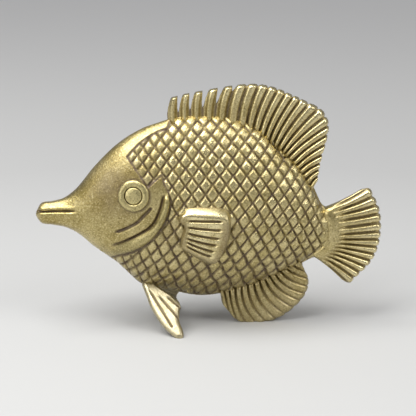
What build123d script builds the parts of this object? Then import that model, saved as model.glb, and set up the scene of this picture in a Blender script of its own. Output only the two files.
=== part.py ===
from build123d import *
import os
from math import cos, pi, radians, sin

# A small cast-brass reef fish with a long snout, which stands on its two pelvic fins and its anal fin.
# Millimetres, +Z up, nose towards -X, the fish's left flank towards -Y.
# The origin lies on the floor, under the middle of the overall length.
# A share is a fraction, chosen by hand, of the size that the comment beside it names.

# Body: two hollow half castings that meet on the middle plane
body_length = 51.0  # nose tip to the end of the tail root
body_height = 31.7  # lowest point of the belly to the top of the back
body_thickness = 13.6  # across both flanks at the fattest section
shell_wall = 2.0  # metal left around the hollow
solder_gap = 0.04  # left all round a root, ring, pin or inlay
cut_overrun = 2.0  # how far a cutter runs past what it cuts

# Dorsal fin: a comb of rays along the back
dorsal_height = 9.2  # longest ray
dorsal_thickness = 2.0
dorsal_rays = 23
dorsal_groove_depth = 0.5
dorsal_groove_width = 0.8
dorsal_rim_notch = 0.5  # how far the rim dips between two rays
dorsal_spine_notch = 1.9  # the deeper dip between the free spines in front
dorsal_free_spines = 5

# Anal fin: the rear foot
anal_depth = 7.0  # longest ray
anal_thickness = 2.2
anal_rays = 14
anal_groove_depth = 0.45
anal_groove_width = 0.6
anal_rim_notch = 0.12

# Tail fin
tail_length = 9.1  # longest ray
tail_thickness = 2.2
tail_rays = 13
tail_groove_depth = 0.5
tail_groove_width = 0.65
tail_rim_notch = 0.4

# What every fin on the middle plane has
fin_root_depth = 1.4  # how far the root goes into its slot between the half castings
foot_cut = 0.25  # ground off the bottom of each fin that stands on the floor

# Pelvic fins: a splayed pair of leaves, the front feet
pelvic_width = 7.0  # fore-and-aft reach of the leaf
pelvic_thickness = 1.3
pelvic_splay = 43.5  # degrees from upright
pelvic_root_offset = 1.6  # of the leaf's middle plane from the fish's, where the leaf leaves the belly
pelvic_root_depth = 1.3  # how far the tenon goes into the belly
pelvic_groove_depth = 0.35
pelvic_groove_width = 0.5

# Pectoral fins: plaques let into the flanks
pectoral_length = 8.4  # fore-and-aft
pectoral_height = 9.4
pectoral_proud = 1.1  # outer face above the flank, at the middle of the fin
pectoral_flare = 5.0  # degrees, rear edge outwards
pectoral_seat_depth = 0.5  # pocket in the flank
pectoral_grooves = 6
pectoral_groove_depth = 0.4
pectoral_groove_width = 0.55

# Gill flaps: crescents let into the head behind the cheeks
gill_proud = 0.55
gill_seat_depth = 0.5

# Eyes: a raised ring around a domed pupil
eye_diameter = 5.5
eye_seat_depth = 0.7  # counterbore in the head
eye_proud = 0.75  # ring above the head at its centre
eye_edge_radius = 0.4
pupil_diameter = 3.0
pupil_dome = 0.35  # crown of the pupil above its edge
pupil_stem_depth = 0.9  # below the floor of the counterbore

# Mouth slit, cut into both sides of the snout
mouth_length = 7.2
mouth_depth = 0.7
mouth_width = 0.55

# Scales: low four-sided pads between two families of lines that cross on each flank
scale_crown_depth = 0.06  # middle of a pad below the smooth flank
scale_line_depth = 0.42  # crossing of two lines below the smooth flank
scale_seam_margin = 1.2  # left plain beside the seam

# Pins that line up the two half castings
seam_pin_diameter = 1.0
seam_pin_length = 3.0

# Cross-sections of the body from nose to tail root: place along body_length, lowest and highest point as
# shares of body_height above the belly, and half thickness as a share of half the body_thickness.
body_section_shares = [
    (0.000, 0.451, 0.509, 0.16),
    (0.016, 0.432, 0.535, 0.22),
    (0.059, 0.418, 0.550, 0.26),
    (0.098, 0.405, 0.569, 0.31),
    (0.137, 0.374, 0.617, 0.40),
    (0.196, 0.293, 0.733, 0.56),
    (0.275, 0.197, 0.860, 0.735),
    (0.353, 0.077, 0.942, 0.87),
    (0.451, 0.035, 0.992, 0.955),
    (0.559, 0.000, 1.000, 1.00),
    (0.667, 0.022, 0.986, 0.97),
    (0.765, 0.068, 0.932, 0.88),
    (0.843, 0.125, 0.819, 0.75),
    (0.902, 0.172, 0.724, 0.60),
    (0.947, 0.207, 0.607, 0.46),
    (0.974, 0.216, 0.516, 0.37),
    (1.000, 0.226, 0.491, 0.31),
]
widest_share = 0.47  # height of the fattest point of a section, from its bottom
# Behind the head the sections are leaner towards the back and the belly than an oval.
oval_power_share = 0.5
lean_power_share = 0.63
lean_start_share = 0.15  # along body_length
lean_end_share = 0.45
ring_points = 13  # laid out along each half of a section
hollow_sections = slice(5, 14)  # the sections that the hollow runs through

# Rays: place of the ray in its fin, root along body_length, then the tip's way back and up (or down)
# from the root as shares of the fin's longest ray.
dorsal_ray_shares = [
    (0.00, 0.467, 0.03, 0.44),
    (0.09, 0.546, 0.04, 0.52),
    (0.18, 0.627, 0.14, 0.63),
    (0.27, 0.699, 0.20, 0.74),
    (0.36, 0.747, 0.31, 0.77),
    (0.45, 0.784, 0.41, 0.78),
    (0.545, 0.815, 0.53, 0.80),
    (0.636, 0.842, 0.73, 0.74),
    (0.68, 0.852, 0.77, 0.62),
    (0.773, 0.883, 0.59, 0.42),
    (0.864, 0.907, 0.36, 0.20),
    (1.00, 0.941, 0.10, 0.12),
]
anal_ray_shares = [
    (0.00, 0.634, 0.11, 0.38),
    (0.12, 0.660, 0.25, 0.78),
    (0.28, 0.703, 0.47, 0.95),
    (0.46, 0.754, 0.62, 0.88),
    (0.62, 0.795, 0.74, 0.65),
    (0.76, 0.829, 0.68, 0.43),
    (0.88, 0.863, 0.47, 0.25),
    (1.00, 0.900, 0.11, 0.12),
]
# The tail's roots also state their height above the belly, as a share of body_height.
tail_ray_shares = [
    (0.00, 0.992, 0.480, 0.82, 0.43),
    (0.17, 0.999, 0.434, 0.98, 0.18),
    (0.36, 1.003, 0.349, 1.00, 0.06),
    (0.68, 0.986, 0.275, 0.96, -0.27),
    (1.00, 0.955, 0.226, 0.73, -0.56),
]
# A fin's first and last ray are edged by this share of their spacing, which swells near the tip.
edge_share = 0.35
tip_width_share = 0.3  # half the width of a ray's blunt tip, of the spacing of the tips
edge_swell_share = 0.82  # place of the swelling along the ray

# Pelvic leaf: across as shares of pelvic_width from its front edge, down as shares of the leaf's length
pelvic_place_share = 0.355  # front edge of the root, along body_length
pelvic_leaf_shares = [
    (0.06, 0.08),
    (0.13, 0.22),
    (0.20, 0.37),
    (0.31, 0.53),
    (0.45, 0.69),
    (0.62, 0.83),
    (0.78, 0.95),
    (0.88, 1.00),
    (0.96, 0.99),
    (1.00, 0.93),
    (0.99, 0.83),
    (0.92, 0.65),
    (0.93, 0.48),
    (0.96, 0.42),
    (0.95, 0.37),
    (0.87, 0.28),
    (0.64, 0.15),
    (0.43, 0.05),
]
pelvic_root_shares = [(0.43, -0.10), (0.03, -0.10)]  # trimmed to the belly
pelvic_tenon_shares = (0.12, 0.36)  # front and rear edge of the tenon
pelvic_groove_shares = [
    ((0.17, 0.07), (0.73, 0.78)),
    ((0.41, 0.20), (0.91, 0.65)),
    ((0.62, 0.23), (0.94, 0.45)),
]

# Pectoral plaque: across pectoral_length and up pectoral_height, from the fin's middle
pectoral_place_shares = (0.565, 0.412)  # along body_length, up body_height
pectoral_outline_shares = [
    (-0.44, 0.42),
    (0.46, 0.46),
    (0.50, 0.33),
    (0.41, -0.10),
    (0.19, -0.52),
    (0.10, -0.53),
    (-0.50, -0.24),
    (-0.44, -0.04),
    (-0.46, 0.10),
    (-0.53, 0.18),
    (-0.53, 0.32),
]
pectoral_groove_start_shares = (-0.36, 0.22, -0.22)  # across, highest and lowest groove
pectoral_groove_end_shares = ((0.44, 0.26), (0.13, -0.40))  # of the highest and the lowest groove

# Gill crescent, along body_length and up body_height: top end, front end and a point on each edge
gill_top_shares = ((0.430, 0.632), (0.444, 0.640))
gill_front_shares = ((0.240, 0.308), (0.252, 0.258))
gill_inner_middle_shares = (0.385, 0.437)
gill_rear_middle_shares = (0.412, 0.405)

eye_place_shares = (0.331, 0.618)  # along body_length, up body_height

# Front edge of the scales, from above the back to below the belly, along body_length and up body_height
scale_edge_shares = [
    (0.457, 1.10),
    (0.446, 0.964),
    (0.382, 0.919),
    (0.335, 0.858),
    (0.301, 0.810),
    (0.386, 0.662),
    (0.426, 0.732),
    (0.446, 0.642),
    (0.455, 0.588),
    (0.442, 0.501),
    (0.415, 0.416),
    (0.367, 0.333),
    (0.307, 0.276),
    (0.256, 0.243),
    (0.256, -0.10),
]
scale_rear_shares = [(0.975, -0.10), (0.975, 1.10)]
# Scale lines passed on the way from a middle place, for the way along (a) and up (b) as shares of the body's
# length and height: the terms of 1, a, b, ab, a2, b2, a3, a2b, ab2 and b3.
scale_middle_shares = (0.590, 0.473)
rising_line_shares = (0.135, 21.83, -11.26, 1.26, -1.39, 1.47, 4.52, -16.5, 3.8, -3.87)
falling_line_shares = (0.141, 20.97, 7.86, 0.0, -2.08, 4.1, 31.2, 12.9, 1.19, 2.58)
scale_line_numbers = range(-16, 17)  # of both families, more than the flank holds
scale_search_shares = (0.24, 1.0)  # along body_length, where pads are looked for
scale_reach_share = 0.05  # of body_height, how far above the back and below the belly pads are looked for
crossing_steps = 12  # of the search for the place where two lines cross
crossing_step_share = 0.001
mouth_up_share = 0.490
seam_pin_shares = [(0.30, True), (0.225, False), (0.52, False)]  # along body_length, on the upper edge or not


def blend_rows(rows, place):
    """The row of a table at a place between its first and last row, by straight steps."""
    for before, after in zip(rows, rows[1:]):
        if place <= after[0]:
            part = (place - before[0]) / (after[0] - before[0])
            return [a + part * (b - a) for a, b in zip(before, after)]
    return list(rows[-1])


def ray_rows(rows, count):
    """One table row for each of count rays, evenly spaced through the fin."""
    return [blend_rows(rows, i / (count - 1)) for i in range(count)]


# The anal fin's lowest ray tip sets how high the belly stands, and the tail's furthest tip the nose's place.
lowest_tip = min(
    blend_rows(body_section_shares, along)[1] * body_height - down * anal_depth
    for _, along, _, down in ray_rows(anal_ray_shares, anal_rays)
)
belly_z = -lowest_tip - foot_cut
tail_overhang = max(
    (along - 1) * body_length + back * tail_length
    for _, along, _, back, _ in ray_rows(tail_ray_shares, tail_rays)
)
nose_x = -(body_length + tail_overhang) / 2


def at(along_share, up_share):
    """(x, z) of a place given as shares of the body's length and height."""
    return nose_x + along_share * body_length, belly_z + up_share * body_height


def half_ring(half, reach, power):
    """Half of a section: from one flank over the back, or under the belly, to the other flank."""
    places = [i / (ring_points - 1) for i in range(ring_points)]
    points = []
    for place in places:
        across, rise = cos(pi * place), sin(pi * place)
        side = 1 if across > 0 else -1
        points.append(Vector(side * half * abs(across) ** (2 * power), reach * rise))
    return Edge.make_spline(points, [Vector(0, reach), Vector(0, -reach)], parameters=places)


def body_form(grow=0, sections=slice(None)):
    """The closed body, bottom to top a ring at each section, grown or shrunk all round."""
    rings = []
    for along, low, high, fat in body_section_shares[sections]:
        x, bottom = at(along, low)
        top = at(along, high)[1]
        middle = bottom + widest_share * (top - bottom)
        half = fat * body_thickness / 2 + grow
        lean = min(max((along - lean_start_share) / (lean_end_share - lean_start_share), 0), 1)
        power = oval_power_share + lean * (lean_power_share - oval_power_share)
        plane = Plane(origin=(x, 0, middle), x_dir=(0, 1, 0), z_dir=(1, 0, 0))
        upper = half_ring(half, top - middle + grow, power)
        lower = half_ring(-half, bottom - middle - grow, power)
        rings.append(plane * Wire([upper, lower]))
    return Solid.make_loft(rings)


def plate(outline, thickness):
    """A flat plate on the middle plane from an outline of (x, z) points."""
    face = Plane.XZ * make_face(Polyline(*outline, close=True))
    return extrude(face, thickness / 2, both=True)


def engraved_line(start, end, depth, width, outward):
    """A V-shaped cutter from nothing at start to its full depth at end, both on a face that looks outward."""
    outward = Vector(outward)
    floor_start = Vector(start)
    floor_end = Vector(end) - outward * depth
    run = (floor_end - floor_start).normalized()
    rise = depth + cut_overrun
    half = width / 2 * rise / depth
    section = Plane(origin=floor_start, x_dir=run.cross(outward), z_dir=run)
    triangle = make_face(Polyline((0, 0), (half, -rise), (-half, -rise), close=True))
    return extrude(section * triangle, (floor_end - floor_start).length + cut_overrun)


def between(a, b, part):
    """The point a given part of the way from a to b."""
    return tuple(i + part * (j - i) for i, j in zip(a, b))


def away(a, b, distance):
    """The point at a distance from a in the direction opposite to b."""
    line = Vector(*a) - Vector(*b)
    moved = Vector(*a) + line.normalized() * distance
    return moved.X, moved.Y


def fin_edge(roots, tips):
    """Root and swelling of the free edge beside an outermost ray, given that ray and its neighbour."""
    root = between(roots[0], roots[1], -edge_share)
    middle = between(roots[0], tips[0], edge_swell_share)
    swelling = [m + edge_share * (a - b) for m, a, b in zip(middle, *tips)]
    return root, tuple(swelling)


def ray_plate(roots, tips, root_depth, notches, thickness):
    """A fin's plate: buried root line, then a rim that dips between neighbouring ray tips."""
    front, rear = fin_edge(roots[:2], tips[:2]), fin_edge(roots[:-3:-1], tips[:-3:-1])
    edged_roots = [front[0], *roots[1:-1], rear[0]]
    buried = [away(root, tip, root_depth) for root, tip in zip(edged_roots, tips)]
    rim = [*front, tips[0]]
    for i, notch in enumerate(notches):
        dip_root, dip_tip = between(roots[i], roots[i + 1], 0.5), between(tips[i], tips[i + 1], 0.5)
        dip = away(dip_tip, dip_root, -notch)
        rim += [between(tips[i], tips[i + 1], tip_width_share), dip]
        rim += [between(tips[i + 1], tips[i], tip_width_share)]
    rim += [tips[-1], *rear[::-1]]
    return plate(buried + rim[::-1], thickness)


def engrave_rays(fin, roots, tips, thickness, depth, width):
    """Cuts the grooves between neighbouring rays into both faces of a fin."""
    cutters = []
    for i in range(len(roots) - 1):
        start = between(roots[i], roots[i + 1], 0.5)
        end = between(tips[i], tips[i + 1], 0.5)
        for side in (-1, 1):
            face_y = side * thickness / 2
            cutters.append(
                engraved_line(
                    (start[0], face_y, start[1]), (end[0], face_y, end[1]), depth, width, (0, side, 0)
                )
            )
    return fin - cutters


def above_floor(shape):
    """Grinds a fin off flat at the floor."""
    reach = body_length + body_height
    return shape - Box(reach, reach, reach, align=(Align.CENTER, Align.CENTER, Align.MAX))


def outline_fin(rows, longest, upward):
    """Roots on the body's upper or lower edge, and tips, of a dorsal or anal fin's rays."""
    roots, tips = [], []
    for _, along, back, rise in rows:
        section = blend_rows(body_section_shares, along)
        root = at(along, section[2] if upward else section[1])
        roots.append(root)
        tips.append((root[0] + back * longest, root[1] + (rise if upward else -rise) * longest))
    return roots, tips


# The closed body, which every fitted piece is trimmed to
body = body_form()


def dorsal_fin():
    roots, tips = outline_fin(ray_rows(dorsal_ray_shares, dorsal_rays), dorsal_height, True)
    notches = [
        dorsal_spine_notch if i < dorsal_free_spines - 1 else dorsal_rim_notch for i in range(dorsal_rays - 1)
    ]
    blank = ray_plate(roots, tips, fin_root_depth, notches, dorsal_thickness)
    slot = ray_plate(roots, tips, fin_root_depth + solder_gap, notches, dorsal_thickness + 2 * solder_gap)
    fin = engrave_rays(blank, roots, tips, dorsal_thickness, dorsal_groove_depth, dorsal_groove_width)
    return fin, slot


def anal_fin():
    roots, tips = outline_fin(ray_rows(anal_ray_shares, anal_rays), anal_depth, False)
    notches = [anal_rim_notch] * (anal_rays - 1)
    blank = ray_plate(roots, tips, fin_root_depth, notches, anal_thickness)
    slot = ray_plate(roots, tips, fin_root_depth + solder_gap, notches, anal_thickness + 2 * solder_gap)
    fin = engrave_rays(blank, roots, tips, anal_thickness, anal_groove_depth, anal_groove_width)
    return above_floor(fin), slot


def tail_fin():
    roots, tips = [], []
    for _, along, up, back, rise in ray_rows(tail_ray_shares, tail_rays):
        root = at(along, up)
        roots.append(root)
        tips.append((root[0] + back * tail_length, root[1] + rise * tail_length))
    notches = [tail_rim_notch] * (tail_rays - 1)
    blank = ray_plate(roots, tips, fin_root_depth, notches, tail_thickness)
    slot = ray_plate(roots, tips, fin_root_depth + solder_gap, notches, tail_thickness + 2 * solder_gap)
    fin = engrave_rays(blank, roots, tips, tail_thickness, tail_groove_depth, tail_groove_width)
    return fin, slot


def pelvic_fin_left():
    """A leaf in a plane that holds the X direction and leans out by the splay, with its tenon's slot."""
    section = blend_rows(body_section_shares, pelvic_place_share)
    root_x, root_z = at(pelvic_place_share, section[1])
    lean = radians(pelvic_splay)
    down = Vector(0, -sin(lean), -cos(lean))
    outward = Vector(0, -cos(lean), sin(lean))
    leaf_plane = Plane(origin=(root_x, -pelvic_root_offset, root_z), x_dir=(1, 0, 0), z_dir=outward)
    length = (root_z + foot_cut) / cos(lean)

    def leaf_points(shares):
        return [(across * pelvic_width, -along * length) for across, along in shares]

    outline = leaf_points([(0, 0)] + pelvic_leaf_shares + pelvic_root_shares)
    leaf = extrude(leaf_plane * make_face(Polyline(*outline, close=True)), pelvic_thickness / 2, both=True)
    for (across0, along0), (across1, along1) in pelvic_groove_shares:
        start = leaf_plane.origin + Vector(across0 * pelvic_width, 0, 0) + down * along0 * length
        end = leaf_plane.origin + Vector(across1 * pelvic_width, 0, 0) + down * along1 * length
        for side in (outward, -outward):
            face = side * pelvic_thickness / 2
            leaf -= engraved_line(start + face, end + face, pelvic_groove_depth, pelvic_groove_width, side)
    front, rear = (share * pelvic_width for share in pelvic_tenon_shares)

    def tenon(gap):
        points = [
            (front - gap, -pelvic_root_depth),
            (rear + gap, -pelvic_root_depth),
            (rear + gap, pelvic_root_depth + gap),
            (front - gap, pelvic_root_depth + gap),
        ]
        face = leaf_plane * make_face(Polyline(*points, close=True))
        return extrude(face, pelvic_thickness / 2 + gap, both=True)

    fin = above_floor(leaf) - body + tenon(0)
    return fin, tenon(solder_gap)


def flank_point(along_share, up_share):
    """The point of the left flank beside a place on the middle plane, and the outward direction there."""
    x, z = at(along_share, up_share)
    hits = body.find_intersection_points(Axis((x, 0, z), (0, -1, 0)))
    return min(hits, key=lambda hit: hit[0].Y)


def pectoral_fin_left():
    """A flat plaque whose rear edge flares out, with the pocket that it is let into."""
    place, normal = flank_point(*pectoral_place_shares)
    flare = radians(pectoral_flare)
    backward = Vector(cos(flare), -sin(flare), 0)
    outward = Vector(-sin(flare), -cos(flare), normal.Z).normalized()
    face_plane = Plane(origin=place + outward * pectoral_proud, x_dir=backward, z_dir=outward)
    inward_reach = body_thickness / 2

    def plaque(gap):
        points = [(a * pectoral_length, b * pectoral_height) for a, b in pectoral_outline_shares]
        outline = make_face(Polyline(*points, close=True))
        if gap:
            outline = offset(outline, gap)
        return extrude(face_plane * outline, -inward_reach) - body_form(-pectoral_seat_depth - gap)

    fin = plaque(0)
    across, high, low = pectoral_groove_start_shares
    for i in range(pectoral_grooves):
        part = i / (pectoral_grooves - 1)
        end_across, end_up = between(*pectoral_groove_end_shares, part)
        start = face_plane.from_local_coords(
            (across * pectoral_length, between((high,), (low,), part)[0] * pectoral_height, 0)
        )
        end = face_plane.from_local_coords((end_across * pectoral_length, end_up * pectoral_height, 0))
        cutter = engraved_line(
            start, end, pectoral_groove_depth, pectoral_groove_width, face_plane.z_dir
        )
        fin -= cutter
    return fin, plaque(solder_gap)


def gill_flap_left():
    """A crescent that stands proud of the head, with the pocket that it is let into."""
    inner_top, rear_top = (at(*shares) for shares in gill_top_shares)
    inner_front, rear_front = (at(*shares) for shares in gill_front_shares)
    edge = [
        ThreePointArc(inner_front, at(*gill_inner_middle_shares), inner_top),
        Line(inner_top, rear_top),
        ThreePointArc(rear_top, at(*gill_rear_middle_shares), rear_front),
        Line(rear_front, inner_front),
    ]
    crescent = make_face(edge)

    def prism(gap):
        outline = offset(crescent, gap) if gap else crescent
        return extrude(Plane.XZ * outline, body_thickness) - body_form(-gill_seat_depth - gap)

    return prism(0) & body_form(gill_proud), prism(solder_gap)


def eye_left():
    """The ring, the domed pupil and the stepped seat for both."""
    place, normal = flank_point(*eye_place_shares)
    floor = Plane(origin=place - normal * eye_seat_depth, z_dir=normal)
    from_floor = (Align.CENTER, Align.CENTER, Align.MIN)
    ring_height = eye_seat_depth + eye_proud
    hole_radius = pupil_diameter / 2 + solder_gap
    ring = Cylinder(eye_diameter / 2, ring_height, align=from_floor)
    ring = fillet(ring.edges().group_by(Axis.Z)[-1], eye_edge_radius)
    ring -= Cylinder(hole_radius, ring_height, align=from_floor)
    stem = Cylinder(pupil_diameter / 2, pupil_stem_depth + ring_height, align=from_floor)
    dome_radius = ((pupil_diameter / 2) ** 2 + pupil_dome**2) / (2 * pupil_dome)
    dome_top = pupil_stem_depth + ring_height
    pupil = stem & Pos(0, 0, dome_top - dome_radius) * Sphere(dome_radius)
    seat = Cylinder(eye_diameter / 2 + solder_gap, ring_height + cut_overrun, align=from_floor)
    hole = Cylinder(hole_radius, pupil_stem_depth + ring_height, align=from_floor)
    below = Pos(0, 0, -pupil_stem_depth)
    return floor * ring, floor * (below * pupil), floor * seat + floor * (below * hole)


def mouth_cut_left():
    """The slit's cutter, deepest at the lips."""
    mouth_corner = flank_point(mouth_length / body_length, mouth_up_share)[0]
    lips = flank_point(0, mouth_up_share)[0]
    return engraved_line(mouth_corner, lips, mouth_depth, mouth_width, (0, -1, 0))


def line_count(terms, along_share, up_share):
    """How many lines of a family are passed on the way from the middle place to this one."""
    a, b = along_share - scale_middle_shares[0], up_share - scale_middle_shares[1]
    powers = (1, a, b, a * b, a * a, b * b, a**3, a * a * b, a * b * b, b**3)
    return sum(term * power for term, power in zip(terms, powers))


def crossing(rising_number, falling_number):
    """Where two scale lines cross, along body_length and up body_height."""
    along, up = scale_middle_shares
    step = crossing_step_share
    for _ in range(crossing_steps):
        rising = line_count(rising_line_shares, along, up)
        falling = line_count(falling_line_shares, along, up)
        rising_along = (line_count(rising_line_shares, along + step, up) - rising) / step
        rising_up = (line_count(rising_line_shares, along, up + step) - rising) / step
        falling_along = (line_count(falling_line_shares, along + step, up) - falling) / step
        falling_up = (line_count(falling_line_shares, along, up + step) - falling) / step
        turn = rising_along * falling_up - rising_up * falling_along
        rising_miss, falling_miss = rising_number - rising, falling_number - falling
        along += (falling_up * rising_miss - rising_up * falling_miss) / turn
        up += (rising_along * falling_miss - falling_along * rising_miss) / turn
    return along, up


def under_flank(along_share, up_share, depth):
    """The point at a depth under the left flank, or on the middle plane where the body ends."""
    x, z = at(along_share, up_share)
    hits = body.find_intersection_points(Axis((x, 0, z), (0, -1, 0)))
    flank_y = min([hit[0].Y for hit in hits] + [0])
    return Vector(x, min(flank_y + depth, 0), z)


def polygon(*points):
    return Face(Wire.make_polygon(points))


def scale_cutter_left():
    """What lies outside the pads of the left flank: one closed shape with a floor of four triangles a pad."""
    first_share, last_share = scale_search_shares
    points, floor, open_edges = {}, [], set()
    for i in scale_line_numbers:
        for j in scale_line_numbers:
            crown = (i + 0.5, j + 0.5)
            along, up = crossing(*crown)
            _, low, high, _ = blend_rows(body_section_shares, along)
            beside_body = low - scale_reach_share < up < high + scale_reach_share
            if not (first_share < along < last_share and beside_body):
                continue
            points[crown] = under_flank(along, up, scale_crown_depth)
            corners = [(i, j), (i + 1, j), (i + 1, j + 1), (i, j + 1)]
            for here, after in zip(corners, corners[1:] + corners[:1]):
                if here not in points:
                    points[here] = under_flank(*crossing(*here), scale_line_depth)
                if (after, here) in open_edges:
                    open_edges.remove((after, here))
                else:
                    open_edges.add((here, after))
            for here, after in zip(corners, corners[1:] + corners[:1]):
                floor.append(polygon(points[crown], points[here], points[after]))
    rim = dict(open_edges)
    outside_y = -body_thickness / 2 - cut_overrun
    outside = {place: Vector(points[place].X, outside_y, points[place].Z) for place in rim}
    walls = [polygon(points[a], points[b], outside[b], outside[a]) for a, b in rim.items()]
    loop = [next(iter(rim))]
    while rim[loop[-1]] != loop[0]:
        loop.append(rim[loop[-1]])
    lid = polygon(*[outside[place] for place in loop])
    print("scale pads", len(floor) // 4, "with", len(loop), "of", len(rim), "edges round them")
    cutter = Solid(Shell(floor + walls + [lid]))
    corner_shares = scale_edge_shares + scale_rear_shares
    scaled_area = make_face(Polyline(*[at(*shares) for shares in corner_shares], close=True))
    return cutter & extrude(Plane.XZ.offset(scale_seam_margin) * scaled_area, body_thickness)


def seam_pins():
    """Pins across the seam, in the middle of the shell's rim, and the holes for them."""
    pins, holes = [], []
    for along, upper in seam_pin_shares:
        section = blend_rows(body_section_shares, along)
        x, edge_z = at(along, section[2] if upper else section[1])
        inset = -shell_wall / 2 if upper else shell_wall / 2
        place = Plane(origin=(x, 0, edge_z + inset), z_dir=(0, 1, 0))
        pins.append(place * Cylinder(seam_pin_diameter / 2, seam_pin_length))
        holes.append(place * Cylinder(seam_pin_diameter / 2 + solder_gap, seam_pin_length + 2 * solder_gap))
    return pins, holes


def on_right(shape):
    return mirror(shape, about=Plane.XZ)


def build():
    """Every named piece of the figurine."""
    dorsal, dorsal_slot = dorsal_fin()
    anal, anal_slot = anal_fin()
    tail, tail_slot = tail_fin()
    pelvic, pelvic_slot = pelvic_fin_left()
    pectoral, pectoral_pocket = pectoral_fin_left()
    gill, gill_pocket = gill_flap_left()
    ring, pupil, eye_seat = eye_left()
    pins, pin_holes = seam_pins()
    casting = body - body_form(-shell_wall, hollow_sections)
    casting -= [dorsal_slot, anal_slot, tail_slot, *pin_holes]
    left = split(casting, bisect_by=Plane.XZ, keep=Keep.TOP)
    left -= scale_cutter_left()
    for cutter in (pelvic_slot, pectoral_pocket, gill_pocket, eye_seat, mouth_cut_left()):
        left -= cutter
    pieces = {"dorsal_fin": dorsal, "anal_fin": anal, "tail_fin": tail, "seam_pins": Compound(pins)}
    one_sided = {
        "body_half": left,
        "pelvic_fin": pelvic,
        "pectoral_fin": pectoral,
        "gill_flap": gill,
        "eye_ring": ring,
        "eye_pupil": pupil,
    }
    for name, shape in one_sided.items():
        pieces[name + "_left"] = shape
        pieces[name + "_right"] = on_right(shape)
    return pieces


os.makedirs("parts", exist_ok=True)
for name, shape in build().items():
    export_step(shape, f"parts/{name}.step")
    lowest_face = shape.faces().sort_by(Axis.Z)[0]
    print(name, round(shape.volume, 2), shape.bounding_box().size, "lowest face", lowest_face.center())
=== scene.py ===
# %% [markdown]
# # A cast-brass reef fish
# The ornament is a palm-sized casting with an antique finish: bright metal where hands have rubbed it,
# brown patina where they can't reach. The construction model gives every piece its place and size. Here
# each piece is carved again as a fine mesh, because the relief is what makes the casting look real. It
# could be sculpted by hand; formulas on grids of points were chosen because every groove then has a number
# that can be changed.

# %% Frame, units and the construction model's box
import math

import bmesh
import bpy
import numpy as np
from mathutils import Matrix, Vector


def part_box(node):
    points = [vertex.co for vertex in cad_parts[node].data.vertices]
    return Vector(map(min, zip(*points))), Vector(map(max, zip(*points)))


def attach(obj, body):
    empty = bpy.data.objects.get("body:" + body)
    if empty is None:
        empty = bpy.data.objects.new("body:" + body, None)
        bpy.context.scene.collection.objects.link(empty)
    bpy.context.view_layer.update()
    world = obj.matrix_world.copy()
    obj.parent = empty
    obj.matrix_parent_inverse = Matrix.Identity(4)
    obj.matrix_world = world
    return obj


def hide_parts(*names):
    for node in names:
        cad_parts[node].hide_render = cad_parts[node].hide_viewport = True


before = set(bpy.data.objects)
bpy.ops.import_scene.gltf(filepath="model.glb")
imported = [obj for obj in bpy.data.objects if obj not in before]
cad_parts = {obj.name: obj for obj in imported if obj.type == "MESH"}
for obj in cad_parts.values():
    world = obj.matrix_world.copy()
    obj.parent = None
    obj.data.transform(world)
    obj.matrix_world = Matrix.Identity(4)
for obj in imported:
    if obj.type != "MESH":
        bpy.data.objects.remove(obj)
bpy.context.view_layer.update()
MM = 0.001  # metres in a millimetre; the carving below is worked out in millimetres

# %% [markdown]
# ## Camera
# The picture was taken with a long lens from slightly above, a touch towards the head. The camera comes
# first because several details are carved where the picture shows them: a pixel is followed along its line
# of sight until that line meets the smooth flank.

# %% Camera
picture_pixels = 416
pixels_per_mm = 5.75  # at the fish's middle plane
camera_distance = 300.0
camera_elevation = math.radians(15)
camera_turn = math.radians(-3)  # towards the head
camera_aim = np.array([-0.26, 0.0, 20.8])
camera_back = np.array([
    math.sin(camera_turn) * math.cos(camera_elevation),
    -math.cos(camera_turn) * math.cos(camera_elevation),
    math.sin(camera_elevation),
])
camera_right = np.array([math.cos(camera_turn), math.sin(camera_turn), 0.0])
camera_up = np.cross(camera_back, camera_right)
camera_place = camera_aim + camera_distance * camera_back
focal_pixels = pixels_per_mm * camera_distance

camera_data = bpy.data.cameras.new("camera")
camera_data.sensor_width = 36.0
camera_data.lens = focal_pixels / picture_pixels * camera_data.sensor_width
camera_data.clip_start = 0.01
camera = bpy.data.objects.new("camera", camera_data)
bpy.context.scene.collection.objects.link(camera)
camera.location = camera_place * MM
camera.rotation_euler = Vector(camera_back).to_track_quat("Z", "Y").to_euler()
bpy.context.scene.camera = camera


def sight_line(pixel):
    """Direction from the camera through a pixel of the picture."""
    u, v = pixel
    middle = picture_pixels / 2
    return (u - middle) / focal_pixels * camera_right - (v - middle) / focal_pixels * camera_up - camera_back


print("lens", round(camera_data.lens, 1), "mm")

# %% [markdown]
# ## The smooth body
# Under its engraving the body is a plump disc with a snout. Each upright section has a lowest point, a
# highest point and a thickness. At the snout it is an oval; behind the head it is leaner towards the back
# and the belly, like a lens. A sphere under a subdivision modifier could be pulled into this form. A smooth
# curve through a few given sections was taken instead, because the engraving, the eyes and the fins
# all have to know how far the flank is from the middle plane.

# %% Body sections
nose_x, _, belly_z = np.array(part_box("body_half_left")[0]) / MM
body_length = 51.0
body_height = 31.7
body_thickness = 13.6
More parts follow.
